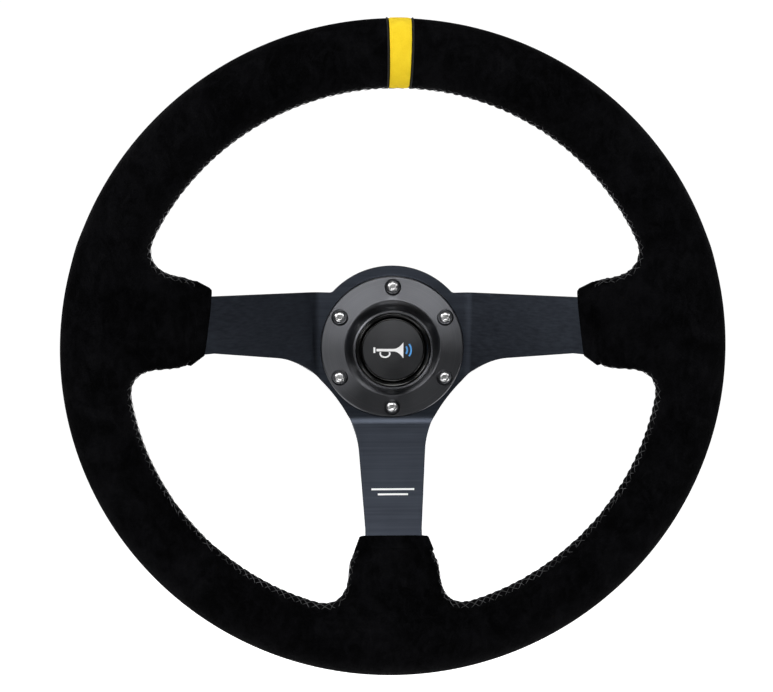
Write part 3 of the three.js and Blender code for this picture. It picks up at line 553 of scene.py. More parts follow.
def rim_field(p):
    across = (np.hypot(p[:, 0], p[:, 1]) - RIM_RADIUS) / HALF_WIDTH
    deep = (p[:, 2] - RIM_HEIGHT) / HALF_DEPTH
    return (np.hypot(across, deep) - 1) * (HALF_WIDTH + HALF_DEPTH) / 2


def cuff_field(p, arm):
    along, over, outline = arm
    flat = np.stack([p[:, :2] @ along, p[:, :2] @ over], 1)
    height, slope = arm_middle(flat[:, 0])
    plan = polygon_distance(flat, outline[1] + outline[0][::-1]) - CUFF_CORNER
    nose = np.interp(flat[:, 1], *arm_nose(outline))
    behind = flat[:, 0] - nose
    edge = np.interp(behind, [1.0, 10.0], [CUFF_NOSE_EDGE, CUFF_EDGE])
    plan += edge
    thick = np.abs(p[:, 2] - height) * np.cos(slope) - CUFF_HALF_THICKNESS + edge
    outside = np.hypot(np.maximum(plan, 0), np.maximum(thick, 0))
    return np.minimum(np.maximum(plan, thick), 0) + outside - edge


def cover_field(p):
    """Below zero inside the suede cover: the rim, blended into the three cuffs."""
    field = rim_field(p)
    for arm in ARMS.values():
        near = (p[:, :2] @ arm[0] > CUFF_START - 14) & (np.abs(p[:, :2] @ arm[1]) < 75)
        if near.any():
            a, b = field[near], cuff_field(p[near], arm)
            share = np.clip(0.5 + 0.5 * (b - a) / CUFF_BLEND, 0, 1)
            field[near] = b + (a - b) * share - CUFF_BLEND * share * (1 - share)
    return field


def gradient(field, p, step=0.05):
    return np.stack(
        [(field(p + step * e) - field(p - step * e)) / (2 * step) for e in np.eye(3)], 1
    )


def onto(field, p, rounds=3):
    """Points moved onto the field's surface."""
    for _ in range(rounds):
        slope = gradient(field, p)
        p = p - slope * (field(p) / np.maximum((slope**2).sum(1), TINY))[:, None]
    return p


def surface_of(field, low, high, pitch):
    """Quads over the surface of a field, by surface nets on a grid of that pitch."""
    axes = [np.arange(a, b + pitch, pitch) for a, b in zip(low, high)]
    grid = np.stack(np.meshgrid(*axes, indexing="ij"), -1)
    shape = grid.shape[:3]
    inside = (field(grid.reshape(-1, 3)) < 0).reshape(shape)
    corners = [
        inside[i : shape[0] - 1 + i, j : shape[1] - 1 + j, k : shape[2] - 1 + k].astype(int)
        for i, j, k in itertools.product((0, 1), repeat=3)
    ]
    filled = sum(corners)
    active = (filled > 0) & (filled < 8)
    index = np.full(active.shape, -1)
    index[active] = np.arange(active.sum())
    points = grid[:-1, :-1, :-1][active] + pitch / 2
    quads = []
    for d in range(3):
        u, v = np.eye(3, dtype=int)[(d + 1) % 3], np.eye(3, dtype=int)[(d + 2) % 3]
        starts = np.take(inside, range(shape[d] - 1), axis=d)
        ends = np.take(inside, range(1, shape[d]), axis=d)
        at = np.argwhere(starts != ends)
        quad = np.stack([index[tuple((at - s).T)] for s in (u + v, v, 0 * u, u)], 1)
        outward = starts[tuple(at.T)]
        quad[~outward] = quad[~outward][:, ::-1]
        quads.append(quad)
    return points, np.concatenate(quads)


def relax(points, quads, field, rounds):
    """Evens out the quads along the surface."""
    ends = np.concatenate([quads[:, [i, (i + 1) % 4]] for i in range(4)])
    for _ in range(rounds):
        total = np.zeros_like(points)
        count = np.zeros(len(points))
        for a, b in ((0, 1), (1, 0)):
            np.add.at(total, ends[:, a], points[ends[:, b]])
            np.add.at(count, ends[:, a], 1)
        points = onto(field, 0.4 * points + 0.6 * total / count[:, None], 1)
    return points


def suede_cover():
    pitch = 1.5
    reach = RIM_OUTER + 3
    low = (-reach, -reach, RIM_HEIGHT - HALF_DEPTH - 12)
    high = (reach, reach, RIM_HEIGHT + HALF_DEPTH + 3)
    points, quads = surface_of(cover_field, low, high, pitch)
    points = relax(onto(cover_field, points, 3), quads, cover_field, 4)
    points = onto(cover_field, points, 2)
    cover = new_object("suede_cover", (points, quads.tolist()), SUEDE, smooth=180)
    cover.modifiers.clear()
    nodes = [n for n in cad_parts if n.startswith(("suede_", "rim_padding", "cuff_padding"))]
    finish_piece(cover, "wheel", nodes)


def cuff_hem(name, arm):
    """The cover's folded edge round the open end of a cuff."""
    along, over, outline = arm
    middle = sum(side[0][1] for side in outline) / 2
    profile = rounded([
        (-0.6, -2.2, 0.4), (-0.6, HEM_PROUD, 0.6), (HEM_WIDTH, HEM_PROUD - 0.1, 0.5),
        (HEM_WIDTH + 0.3, -0.8), (2.0, -2.2),
    ], 0.3, 4)
    steps = 160
    points = []
    for i in range(steps):
        turn = 2 * math.pi * i / steps
        way = np.array([math.cos(turn), math.sin(turn)])
        reach, width = zip(*(outline[1] if way[0] > 0 else outline[0]))
        square = np.sign(way) * np.abs(way) ** 0.35
        square /= np.abs(square).max()
        ruffle = HEM_RUFFLE * math.sin(7 * turn) * math.sin(3 * turn + 1)
        for shift, proud in profile:
            edge = np.interp(reach[0] + shift, reach, width) + math.copysign(CUFF_CORNER, way[0])
            core = np.array([abs(edge - middle), CUFF_HALF_THICKNESS]) - HEM_CORNER
            across, off = core * square + way * (HEM_CORNER + proud + ruffle)
            nose = np.interp(middle + across, *arm_nose(outline))
            height, slope = arm_middle(nose + shift)
            t = nose + shift - math.sin(slope) * off
            x, y = along * t + over * (middle + across)
            points.append((x, y, float(height) + math.cos(slope) * off))
    faces = skin(steps, len(profile), closed=True)
    if np.linalg.det(np.array([[*along, 0], [*over, 0], [0, 0, 1]])) < 0:
        faces = [face[::-1] for face in faces]
    hem = new_object(f"cuff_hem_{name}", (points, faces), SUEDE, smooth=60)
    hem.modifiers.clear()
    finish_piece(hem, "wheel")


# ---------------------------------------------------------------- stitching
STITCH_PITCH = 4.6
STITCH_HALF = 6.2  # half of the stitches' reach across the seam
THREAD_RADIUS = 0.18
WINDOWS = {
    "upper": (np.array([0.0, 92.0]), -26.0, 206.0),
    "lower_left": (np.array([-78.0, -66.0]), 110.0, 327.0),
    "lower_right": (np.array([78.0, -66.0]), -147.0, 70.0),
}


def ridge(centre, from_degrees, to_degrees):
    """The cover's edge seen from a point in a window: the points where it stands out most."""
    steps = 720
    heights = np.linspace(RIM_HEIGHT - 20, RIM_HEIGHT + 3, 24)
    angles = np.radians(np.linspace(from_degrees, to_degrees, steps))
    way = np.stack([np.cos(angles), np.sin(angles)], 1)
    grid = np.zeros((steps, len(heights), 3))
    found = np.full((steps, len(heights)), np.nan)
    for distance in np.arange(0.0, 150.0, 1.5):
        grid[:, :, :2] = (centre + way * distance)[:, None, :]
        grid[:, :, 2] = heights
        value = cover_field(grid.reshape(-1, 3)).reshape(found.shape)
        hit = np.isnan(found) & (value < 0)
        found[hit] = distance
    return way, heights, found


def seam_path(centre, from_degrees, to_degrees):
    """Points along the seam of one window: where the cover stands out most toward the window."""
    way, heights, found = ridge(centre, from_degrees, to_degrees)
    ok = ~np.isnan(found).all(axis=1)
    way, found = way[ok], np.where(np.isnan(found[ok]), 1e3, found[ok])
    nearest = found.min(axis=1)
    weight = np.exp(-((found - nearest[:, None]) ** 2) / 4.0)
    height = (weight * heights).sum(1) / weight.sum(1)
    kernel = np.hanning(15)
    padded = np.pad(height, 7, mode="edge")
    height = np.convolve(padded, kernel / kernel.sum(), mode="valid")
    points = np.concatenate([centre + way * nearest[:, None], height[:, None]], 1)
    return onto(cover_field, points, 6)


def along_path(path, distances):
    """Points and directions at distances along a path."""
    steps = np.linalg.norm(np.diff(path, axis=0), axis=1)
    at = np.concatenate([[0], np.cumsum(steps)])
    points = np.stack([np.interp(distances, at, path[:, k]) for k in range(3)], 1)
    ahead = np.stack([np.interp(distances + 1.0, at, path[:, k]) for k in range(3)], 1)
    back = np.stack([np.interp(distances - 1.0, at, path[:, k]) for k in range(3)], 1)
    way = ahead - back
    return points, way / np.linalg.norm(way, axis=1)[:, None], at[-1]


def on_seam(path, distances, sideways, lift):
    """Points beside the seam, on the cover, raised by lift along its normal."""
    points, way, _ = along_path(path, distances)
    normal = gradient(cover_field, points)
    normal /= np.linalg.norm(normal, axis=1)[:, None]
    side = np.cross(way, normal)
    points = onto(cover_field, points + side * sideways[:, None], 3)
    normal = gradient(cover_field, points)
    normal /= np.linalg.norm(normal, axis=1)[:, None]
    return points + normal * lift[:, None]


def stitching():
    """Crossing stitches over the seam of each window."""
    bends = np.linspace(-1, 1, 7)
    lift = THREAD_RADIUS * (0.9 - 1.9 * bends**4)
    shapes = []
    chance = np.random.default_rng(11)
    for centre, low, high in WINDOWS.values():
        path = seam_path(centre, low, high)
        length = along_path(path, np.array([0.0]))[2]
        count = int((length - STITCH_PITCH) / STITCH_PITCH)
        pitch = (length - STITCH_PITCH) / count
        for direction in (1, -1):
            middles = pitch * (np.arange(count) + 1) + chance.normal(0, 0.22, count)
            slant = 0.95 + chance.normal(0, 0.07, count)
            reach = STITCH_HALF * (1 + chance.normal(0, 0.06, count))
            distances = (middles[:, None] + bends * pitch * slant[:, None]).ravel()
            sideways = (bends * direction * reach[:, None]).ravel()
            raised = np.tile(lift + (0.25 if direction > 0 else -0.1) * (1 - bends**2), count)
            points = on_seam(path, distances, sideways, raised).reshape(count, len(bends), 3)
            shapes.extend(tube(line, THREAD_RADIUS, sides=6) for line in points)
    piece("rim_stitching", merged(shapes), THREAD, "wheel", smooth=60)


# ---------------------------------------------------------------- centre marker
BAND_HALF_OUTSIDE = 6.1  # half of the band's width at the outside of the rim
BAND_HALF_INSIDE = 5.4
BAND_PROUD = 0.35


def section_point(angle, x, proud):
    """A point on the rim's section at the top of the wheel, x to the side of its middle."""
    radius = RIM_RADIUS + (HALF_WIDTH + proud) * math.cos(angle)
    height = RIM_HEIGHT + (HALF_DEPTH + proud) * math.sin(angle)
    return (x, math.sqrt(radius**2 - x**2), height)


def band_half(angle):
    """Half of the band's width at an angle round the rim's section."""
    outside = 0.5 + 0.5 * math.cos(angle)
    return BAND_HALF_INSIDE + (BAND_HALF_OUTSIDE - BAND_HALF_INSIDE) * outside


def marker_band():
    """The yellow band, with its cut edges pressed into the suede."""
    around, across = 96, 8
    points, faces = [], []
    rows = []
    for layer, proud in ((0, BAND_PROUD), (1, -1.0)):
        for i in range(around):
            angle = 2 * math.pi * i / around
            row = []
            for k in range(across + 1):
                share = 2 * k / across - 1
                tuck = 0.5 * abs(share) ** 8 if layer == 0 else 0.0
                row.append(len(points))
                points.append(section_point(angle, band_half(angle) * share, proud - tuck))
            rows.append(row)
    for i in range(around):
        j = (i + 1) % around
        for k in range(across):
            outer, inner = rows[i], rows[j]
            faces.append((outer[k], outer[k + 1], inner[k + 1], inner[k]))
            outer, inner = rows[around + i], rows[around + j]
            faces.append((inner[k], inner[k + 1], outer[k + 1], outer[k]))
        for k in (0, across):
            side = (rows[i][k], rows[j][k], rows[around + j][k], rows[around + i][k])
            faces.append(side if k == 0 else side[::-1])
    shape = (points, faces)
    piece("marker_band", shape, YELLOW, "wheel", ["centre_marker_band"], smooth=50)
    edges = []
    for sign in (-1, 1):
        path = []
        for i in range(around):
            angle = 2 * math.pi * i / around
            path.append(section_point(angle, sign * (band_half(angle) + 0.35), 0.15))
        edges.append(tube(path, 0.42, sides=8, closed=True))
    piece("marker_band_edges", merged(edges), FOLD, "wheel", smooth=60)


# ---------------------------------------------------------------- spoke plate
def bezier(points, steps):
    a, b, c, d = (np.array(p, float) for p in points)
    made = []
    for s in np.linspace(0, 1, steps + 1):
        made.append((1 - s) ** 3 * a + 3 * s * (1 - s) ** 2 * b + 3 * s * s * (1 - s) * c + s**3 * d)
    return made


def arc(centre, radius, start, end, steps):
    angles = np.linspace(start, end, steps + 1)
    return [np.array([centre[0] + radius * math.cos(a), centre[1] + radius * math.sin(a)]) for a in angles]


def plate_outline():
    """The right half of the plate's outline, from the foot of the bottom arm up to the top of the hub."""
    arm_edge = np.array([CUFF_START, SIDE_ARM_LOW])
    bottom_edge = np.array([BOTTOM_ARM_HALF, -CUFF_START])
    up = BOTTOM_ARM_FOOT - bottom_edge
    inward = SIDE_ARM_FOOT - arm_edge
    up_handle = BOTTOM_ARM_FOOT + up / np.linalg.norm(up) * FOOT_PULL
    in_handle = SIDE_ARM_FOOT + inward / np.linalg.norm(inward) * FOOT_PULL
    fillet_y = SIDE_ARM_HIGH_AT_HUB + PLATE_FILLET
    fillet_x = math.sqrt((PLATE_RADIUS + PLATE_FILLET) ** 2 - fillet_y**2)
    meet = math.atan2(fillet_y, fillet_x)
    half = [np.array([BOTTOM_ARM_HALF, -ARM_END]), bottom_edge]
    half += bezier([BOTTOM_ARM_FOOT, up_handle, in_handle, SIDE_ARM_FOOT], 32)
    half += [arm_edge, np.array([ARM_END, SIDE_ARM_LOW])]
    half += [np.array([ARM_END, SIDE_ARM_HIGH]), np.array([CUFF_START, SIDE_ARM_HIGH])]
    half += arc((fillet_x, fillet_y), PLATE_FILLET, -math.pi / 2, meet - math.pi, 6)
    half += arc((0, 0), PLATE_RADIUS, meet, math.pi / 2, 40)[1:]
    return half + [np.array([-p[0], p[1]]) for p in reversed(half[:-1])]


def plate_sheet():
    """The flat plate with its holes, sliced across the arms where they bend."""
    mesh = bmesh.new()
    loops = [plate_outline(), arc((0, 0), PLATE_BORE, 0, 2 * math.pi, 96)[:-1]]
    loops += [arc(polar(BOLT_CIRCLE_RADIUS, a), BOLT_HOLE, 0, 2 * math.pi, 24)[:-1] for a in bolt_angles()]
    for loop in loops:
        corners = [mesh.verts.new((p[0], p[1], 0)) for p in loop]
        for a, b in zip(corners, corners[1:] + corners[:1]):
            mesh.edges.new((a, b))
    bmesh.ops.triangle_fill(mesh, use_beauty=True, use_dissolve=False, edges=mesh.edges[:])
    bends = [BEND_START + BEND_RUN * k / 10 for k in range(11)]
    bends += [BEND_END - BEND_RUN * k / 8 for k in range(9)]
    for t in bends:
        for side in ((1, 0, 0), (-1, 0, 0), (0, -1, 0)):
            everything = mesh.verts[:] + mesh.edges[:] + mesh.faces[:]
            bmesh.ops.bisect_plane(mesh, geom=everything, dist=1e-5, plane_co=Vector(side) * t, plane_no=side)
    mesh.normal_update()
    flat = np.array([v.co[:2] for v in mesh.verts])
    mesh.verts.index_update()
    faces = [[v.index for v in f.verts] for f in mesh.faces]
    up = sum(f.normal.z for f in mesh.faces) > 0
    border = []
    for edge in mesh.edges:
        if len(edge.link_faces) == 1:
            loop = edge.link_loops[0]
            border.append((loop.vert.index, loop.link_loop_next.vert.index))
    mesh.free()
    if not up:
        faces = [f[::-1] for f in faces]
        border = [(b, a) for a, b in border]
    return flat, faces, border


def on_arm(flat, offset):
    """Flat plate points bent into place, at an offset in front of the sheet's middle."""
    t = np.maximum(np.abs(flat[:, 0]), -flat[:, 1])
    sideways = np.abs(flat[:, 0]) >= -flat[:, 1]
    height, slope = arm_middle(t)
    shift = -np.sin(slope) * offset
    moved = np.concatenate([flat, (height + np.cos(slope) * offset)[:, None]], 1)
    moved[:, 0] += np.where(sideways, np.sign(flat[:, 0]) * shift, 0)
    moved[:, 1] += np.where(sideways, 0, -shift)
    return moved


def spoke_plate():
    flat, faces, border = plate_sheet()
    count = len(flat)
    front = on_arm(flat, PLATE_THICKNESS / 2)
    back = on_arm(flat, -PLATE_THICKNESS / 2)
    points = np.concatenate([front, back])
    solid = list(faces) + [[i + count for i in reversed(f)] for f in faces]
    solid += [(b, a, a + count, b + count) for a, b in border]
    plate = new_object("arm_plate", (points, solid), ANODISED, smooth=0)
    bevel = plate.modifiers.new("bevel", "BEVEL")
    bevel.width = 0.45 * MM
    bevel.segments = 2
    bevel.limit_method = "ANGLE"
    bevel.angle_limit = math.radians(50)
    bake_modifiers(plate)
    shade(plate, 40)
    finish_piece(plate, "wheel", ["spoke_plate"])


def arm_stripes():
    """Two plain painted lines across the bottom arm."""
    shapes = []
    for low, half, thick in ((-80.4, 12.2, 0.9), (-82.9, 8.6, 0.9)):
        corners = np.array([[-half, low], [half, low], [half, low + thick], [-half, low + thick]])
        shapes.append(slab(*(on_arm(corners, PLATE_THICKNESS / 2 + lift) for lift in PRINT_LIFT)))
    piece("arm_stripes", merged(shapes), WHITE_PRINT, "wheel", smooth=0)


# ---------------------------------------------------------------- hub ring and screws
RING_LOW, RING_HIGH = span("hub_ring")
RING_RADIUS = RING_HIGH[0]
RING_BACK = RING_LOW[2]
RING_FRONT = RING_BACK + 5.5
RING_CREST = RING_HIGH[2]
CONE_FOOT = 28.0
CREST_RADIUS = 22.0
RING_BORE = 21.2
RECESS_DEPTH = 3.6
RING_FALL = 1.4  # how much the ring's face falls from the cone's foot to its edge


RING_STEP = 2.3  # the seat turned in the ring's back
RING_STEP_WIDTH = 3.6
RECESS_FLOOR, RECESS_WALL, RECESS_MOUTH = 4.3, 4.75, 5.3  # radii of a screw's recess
SHANK_RADIUS = 2.4
HEAD_HEIGHT = 2.3
SOCKET_RADIUS = 1.7
SOCKET_DEPTH = 1.5


def hub_ring():
    foot = np.array([CONE_FOOT, RING_FRONT])
    pull = np.array([CREST_RADIUS + 2.9, RING_FRONT + 1.7])
    crest = np.array([CREST_RADIUS + 0.6, RING_CREST - 0.9])
    flank = []
    for s in np.linspace(0, 1, 13):
        flank.append(tuple((1 - s) ** 2 * foot + 2 * s * (1 - s) * pull + s * s * crest))
    edge, step = RING_FRONT - RING_FALL, RING_BACK + RING_STEP
    profile = [(RING_RADIUS, RING_BACK), (RING_RADIUS, edge - 0.8), (RING_RADIUS - 0.8, edge)]
    profile = rounded(profile + [flank[0]], 0.35)[:-4] + flank
    profile += rounded([
        (0.0, 0.0), (CREST_RADIUS, RING_CREST, 0.6), (RING_BORE, RING_CREST - 0.5), (RING_BORE, step),
    ], 0.3)[1:]
    profile += [(RING_BORE + RING_STEP_WIDTH, step), (RING_BORE + RING_STEP_WIDTH, RING_BACK)]
    ring = new_object("turned_hub_ring", turned(profile, 180), RING)
    low, floor, high = RING_BACK - 1, RING_FRONT - RECESS_DEPTH, RING_FRONT + 1
    dish = rounded([
        (0.0, low), (BOLT_HOLE, low), (BOLT_HOLE, floor), (RECESS_FLOOR, floor),
        (RECESS_WALL, RING_FRONT - 0.5), (RECESS_MOUTH, RING_FRONT + 0.05), (RECESS_MOUTH, high), (0.0, high),
    ], 0.5)
    dishes = [turned(dish, 48, polar(BOLT_CIRCLE_RADIUS, degrees)) for degrees in bolt_angles()]
    combine(ring, merged(dishes), "DIFFERENCE", 30)
    finish_piece(ring, "wheel", ["hub_ring"])


def hub_screws():
    for i in range(1, 7):
        low, high = span(f"hub_screw_{i}")
        x, y = (low[0] + high[0]) / 2, (low[1] + high[1]) / 2
        head, top = (high[0] - low[0]) / 2, high[2]
        under = top - HEAD_HEIGHT
        body = rounded([
            (0.0, low[2]), (SHANK_RADIUS - 0.5, low[2]), (SHANK_RADIUS, low[2] + 0.5), (SHANK_RADIUS, under),
            (head, under, 0.3), (head, top - 0.9, 1.2), (head - 1.1, top, 0.9), (0.0, top),
        ], 0.3, 4)
        screw = new_object(f"cap_screw_{i}", turned(body, 48, (x, y)), ZINC)
        socket = [
            (0.0, top - SOCKET_DEPTH), (SOCKET_RADIUS, top - SOCKET_DEPTH), (SOCKET_RADIUS, top - 0.3),
            (SOCKET_RADIUS + 0.3, top + 0.1), (SOCKET_RADIUS + 0.3, top + 1), (0.0, top + 1),
        ]
        combine(screw, turned(socket, 6, (x, y)), "DIFFERENCE", 30)
        finish_piece(screw, "wheel", [f"hub_screw_{i}"])


# ---------------------------------------------------------------- scene
def camera():
    """The photo's view. A program fitted its angles, distance, aim and lens to the rim and screws."""
    distance, elevation, azimuth = 0.5437, math.radians(10.381), math.radians(-3.031)
    aside, above, roll = -0.01000, 0.01600, math.radians(0.469)
    centre = Vector(place([0.0, 0.0, RIM_HEIGHT]))
    out = Vector((
        math.sin(azimuth) * math.cos(elevation),
        -math.cos(azimuth) * math.cos(elevation),
        math.sin(elevation),
    ))
    right = (-out).cross(Vector((0, 0, 1))).normalized()
    up = right.cross(-out)
    forward = (-out + right * aside + up * above).normalized()
    right = forward.cross(up).normalized()
    up = right.cross(forward)
    right, up = right * math.cos(roll) + up * math.sin(roll), up * math.cos(roll) - right * math.sin(roll)
    data = bpy.data.cameras.new("camera")
    data.lens, data.sensor_width = 47.94, 36.0
    data.clip_start, data.clip_end = 0.01, 100.0
    made = bpy.data.objects.new("camera", data)
    turn = Matrix((right, up, -forward)).transposed().to_4x4()
    made.matrix_world = Matrix.Translation(centre + out * distance) @ turn
    bpy.context.scene.collection.objects.link(made)
    bpy.context.scene.camera = made


# Soft boxes as [name, angle round the axis, angle off it, power in watts]. A least-squares program
# chose all but the last two and set their powers to meet the photo's levels. The powers of low_left
# and low_right were then changed.
LIGHTS = [
    ("front_top", 90, 22, 7.45),
    ("front_left", 170, 22, 0.71),
    ("front_top_right", 70, 22, 2.24),
    ("front_right", 10, 22, 0.24),
    ("side_left", 170, 34, 1.91),
    ("high", 90, 62, 0.78),
    ("higher", 90, 75, 4.65),
    ("crown", 90, 88, 0.26),
    ("low_left_near", 240, 50, 1.64),
    ("low_near", 260, 50, 2.11),
    ("low_left", 240, 76, 4.2),
    ("low_right", 320, 76, 8.9),
    ("wide_left", 150, 64, 11.2),
    ("wide_right", 30, 64, 5.44),
    ("behind_left", 150, 132, 7.0),
    ("behind_right", 30, 132, 7.0),
]
LIGHT_DISTANCE = 1.5
LIGHT_SIZE = 0.6


def area_light(name, around, off_axis, power):
    """A soft light, placed by an angle round the wheel's axis and an angle off it."""
    x, y = polar(math.sin(math.radians(off_axis)), around)
    target = Vector(place([0.0, 0.0, RIM_HEIGHT]))
    out = Vector(place([x, y, math.cos(math.radians(off_axis))]) / MM)
    data = bpy.data.lights.new(name, "AREA")
    data.shape = "RECTANGLE"
    data.size, data.size_y = LIGHT_SIZE, LIGHT_SIZE
    data.energy = power
    light = bpy.data.objects.new(name, data)
    light.location = target + out * LIGHT_DISTANCE
    light.rotation_mode = "QUATERNION"
    light.rotation_quaternion = (-out).to_track_quat("-Z", "Y")
    light.visible_camera = False
    bpy.context.scene.collection.objects.link(light)


def studio():
    world = bpy.data.worlds.new("world")
    world.use_nodes = True
    tree = world.node_tree
    background = tree.nodes["Background"]
    seen = tree.nodes.new("ShaderNodeBackground")
    seen.inputs["Color"].default_value = colour(1.0)
    seen.inputs["Strength"].default_value = 1.05
    background.inputs["Color"].default_value = colour((0.95, 0.98, 1.0))
    background.inputs["Strength"].default_value = 0.025
    path = tree.nodes.new("ShaderNodeLightPath")
    mix = tree.nodes.new("ShaderNodeMixShader")
    tree.links.new(path.outputs["Is Camera Ray"], mix.inputs[0])
    tree.links.new(background.outputs[0], mix.inputs[1])
    tree.links.new(seen.outputs[0], mix.inputs[2])
    tree.links.new(mix.outputs[0], tree.nodes["World Output"].inputs["Surface"])
    bpy.context.scene.world = world
    for name, around, off_axis, power in LIGHTS:
        area_light(name, around, off_axis, power)
    bpy.context.scene.view_settings.view_transform = "Standard"

    floor = new_object("floor", turned(oblong(0.0, 2200.0, 0.0, 6.0), 64), [], smooth=0)
    floor.matrix_world = Matrix.Translation((0, 2.0, -0.80)) @ Matrix.Rotation(math.radians(-90), 4, "X")
    n = Nodes("floor")
    pale = n.ramp(n.noise(3), 0.3, 0.7, 0.93, 0.96)
    floor.data.materials.append(
        n.set(Base_Color=pale, Roughness=0.7, Emission_Color=1.0, Emission_Strength=1.0)
    )


# ---------------------------------------------------------------- horn button
BEZEL_LOW, BEZEL_HIGH = span("horn_bezel")
CAP_LOW, CAP_HIGH = span("horn_cap")
FACE_LOW, FACE_HIGH = span("horn_face_disc")
HOUSING_LOW, HOUSING_HIGH = span("horn_housing")
BEZEL_BORE = 18.8
HOUSING_BORE = 19.0


def horn_button():
    outer, top = BEZEL_HIGH[0], BEZEL_HIGH[2]
    bezel = [
        (BEZEL_BORE, BEZEL_LOW[2]), (outer, BEZEL_LOW[2]), (outer, top - 0.2, 0.2), (outer - 0.2, top, 0.2),
        (BEZEL_BORE + 1.1, top - 0.1, 0.3), (BEZEL_BORE, top - 1.4, 0.4),
    ]
    shape = turned(rounded(bezel, 0.2, 5), 180)
    piece("bezel_ring", shape, GLOSS, "wheel", ["horn_bezel"], smooth=60)

    radius, top, face = CAP_HIGH[0], CAP_HIGH[2], FACE_HIGH[0]
    seat = FACE_LOW[2] - 0.3
    cap = [
        (0.0, seat - 2.8), (radius - 1.4, seat - 2.8), (radius - 1.4, CAP_LOW[2]), (radius, CAP_LOW[2]),
        (radius, top, 0.5), (face + 0.28, top, 0.2), (face + 0.28, seat), (0.0, seat),
    ]
    shape = turned(rounded(cap, 0.15, 4), 180)
    piece("button_cap", shape, GLOSS, "horn", ["horn_cap"], smooth=60)
    top = FACE_HIGH[2]
    disc = [(0.0, FACE_LOW[2]), (face, FACE_LOW[2]), (face, on_dome(face, 0, top), 0.25)]
    disc += [(face * share, on_dome(face * share, 0, top)) for share in np.linspace(0.9, 0.0, 12)]
    shape = turned(rounded(disc, 0.2, 5), 180)
    piece("button_face", shape, FACE, "horn", ["horn_face_disc"], smooth=60)
    horn_symbol(top)


def horn_housing():
    low, lip = HOUSING_LOW[2], HOUSING_HIGH[0]
    body, front = BEZEL_HIGH[0], HOUSING_HIGH[2]
    shell = [
        (0.0, low), (body, low, 1.0), (body, RING_BACK), (lip, RING_BACK),
        (lip, RING_BACK + 2), (body, RING_BACK + 2), (body, front),
        (HOUSING_BORE, front), (HOUSING_BORE, low + 1.5), (0.0, low + 1.5),
    ]
    shape = turned(rounded(shell, 0.3, 3), 120)
    piece("button_housing", shape, HOUSING, "wheel", ["horn_housing"], smooth=40)


DOME = 0.4  # how far the button's face bulges


def on_dome(x, y, top):
    return top - DOME * (x * x + y * y) / FACE_HIGH[0] ** 2


def printed_line(points, widths, top):
    """A printed line along 2D points, as a thin solid that follows the button's domed face."""
    points = np.asarray(points, float)
    ahead = np.gradient(points, axis=0)
    ahead /= np.linalg.norm(ahead, axis=1)[:, None]
    side = np.stack([-ahead[:, 1], ahead[:, 0]], 1) * np.broadcast_to(widths, len(points))[:, None] / 2
    made = []
    for lift in (-0.03, 0.06):
        for share in (-1.0, 0.0, 1.0):
            made += [(x, y, on_dome(x, y, top) + lift) for x, y in points + side * share]
    n = len(points)
    faces = []
    for k in range(n - 1):
        for row in (0, n):
            faces.append((row + k, row + n + k, row + n + k + 1, row + k + 1))
            faces.append((3 * n + row + k, 3 * n + row + k + 1, 4 * n + row + k + 1, 4 * n + row + k))
        faces.append((k, k + 1, 3 * n + k + 1, 3 * n + k))
        faces.append((2 * n + k + 1, 2 * n + k, 5 * n + k, 5 * n + k + 1))
    for k, turn in ((0, 1), (n - 1, -1)):
        faces.append((k, 3 * n + k, 4 * n + k, n + k)[::turn])
        faces.append((n + k, 4 * n + k, 5 * n + k, 2 * n + k)[::turn])
    return made, faces


def horn_symbol(top):
    """The plain road-vehicle symbol for a horn: a bugle with sound waves."""
    along = np.linspace(-9.4, 5.8, 40)
    flare = np.clip(along / 5.8, 0, 1)
    bell = printed_line([(x, 0.0) for x in along], 1.45 + 7.8 * flare**2.2, top)
    mouth = printed_line([(-10.6, y) for y in np.linspace(-1.6, 1.6, 6)], 1.1, top)
    coil = [polar(2.0, a) for a in np.linspace(-205, 25, 24)]
    coil = printed_line([(1.35 * x - 4.6, y - 2.0) for x, y in coil], 0.9, top)
    piece("button_symbol", merged([bell, mouth, coil]), WHITE_PRINT, "horn", smooth=0)
    waves = []
    for radius in (3.4, 5.6):
        line = [polar(radius, a) for a in np.linspace(-38, 38, 14)]
        waves.append(printed_line([(x + 4.6, y) for x, y in line], 0.95, top))
    piece("button_symbol_waves", merged(waves), BLUE_PRINT, "horn", smooth=0)


def spring_path(radius, low, high, turns, steps=36):
    """A coil with a flat closed turn at each end."""
    count = int(turns * steps)
    flat = 0.7 / turns
    points = []
    for i in range(count + 1):
        t = i / count
        rise = min(max((t - flat / 2) / (1 - flat), 0.0), 1.0)
        rise = rise * rise * (3 - 2 * rise) * 0.25 + rise * 0.75
        x, y = polar(radius, 360 * turns * t)
        points.append((x, y, low + (high - low) * rise))
    return points


def horn_inside():
    low, high = span("horn_spring")
    wire = 0.55
    path = spring_path(high[0] - wire, low[2] + wire, high[2] - wire, 6.5)
    shape = tube(path, wire, 10)
    coil = piece("button_spring", shape, SPRING, "wheel", ["horn_spring"], smooth=60)
    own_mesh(coil)

    low, high = span("horn_plunger")
    rod, head = 4.0, high[2] - 2.7
    pin = [(0.0, low[2]), (rod, low[2], 1.2), (rod, head)]
    pin += [(high[0], head), (high[0], high[2]), (0.0, high[2])]
    piece("button_plunger", turned(rounded(pin, 0.3), 72), BRASS, "horn", ["horn_plunger"])
    low, high = span("horn_contact")
    disc = turned(rounded(oblong(0.0, high[0], low[2], high[2]), 0.2), 72)
    piece("button_contact", disc, BRASS, "wheel", ["horn_contact"])
    for side in ("signal", "ground"):
        low, high = span(f"horn_terminal_{side}")
        finish_piece(terminal(f"spade_{side}", low, high), "wheel", [f"horn_terminal_{side}"])


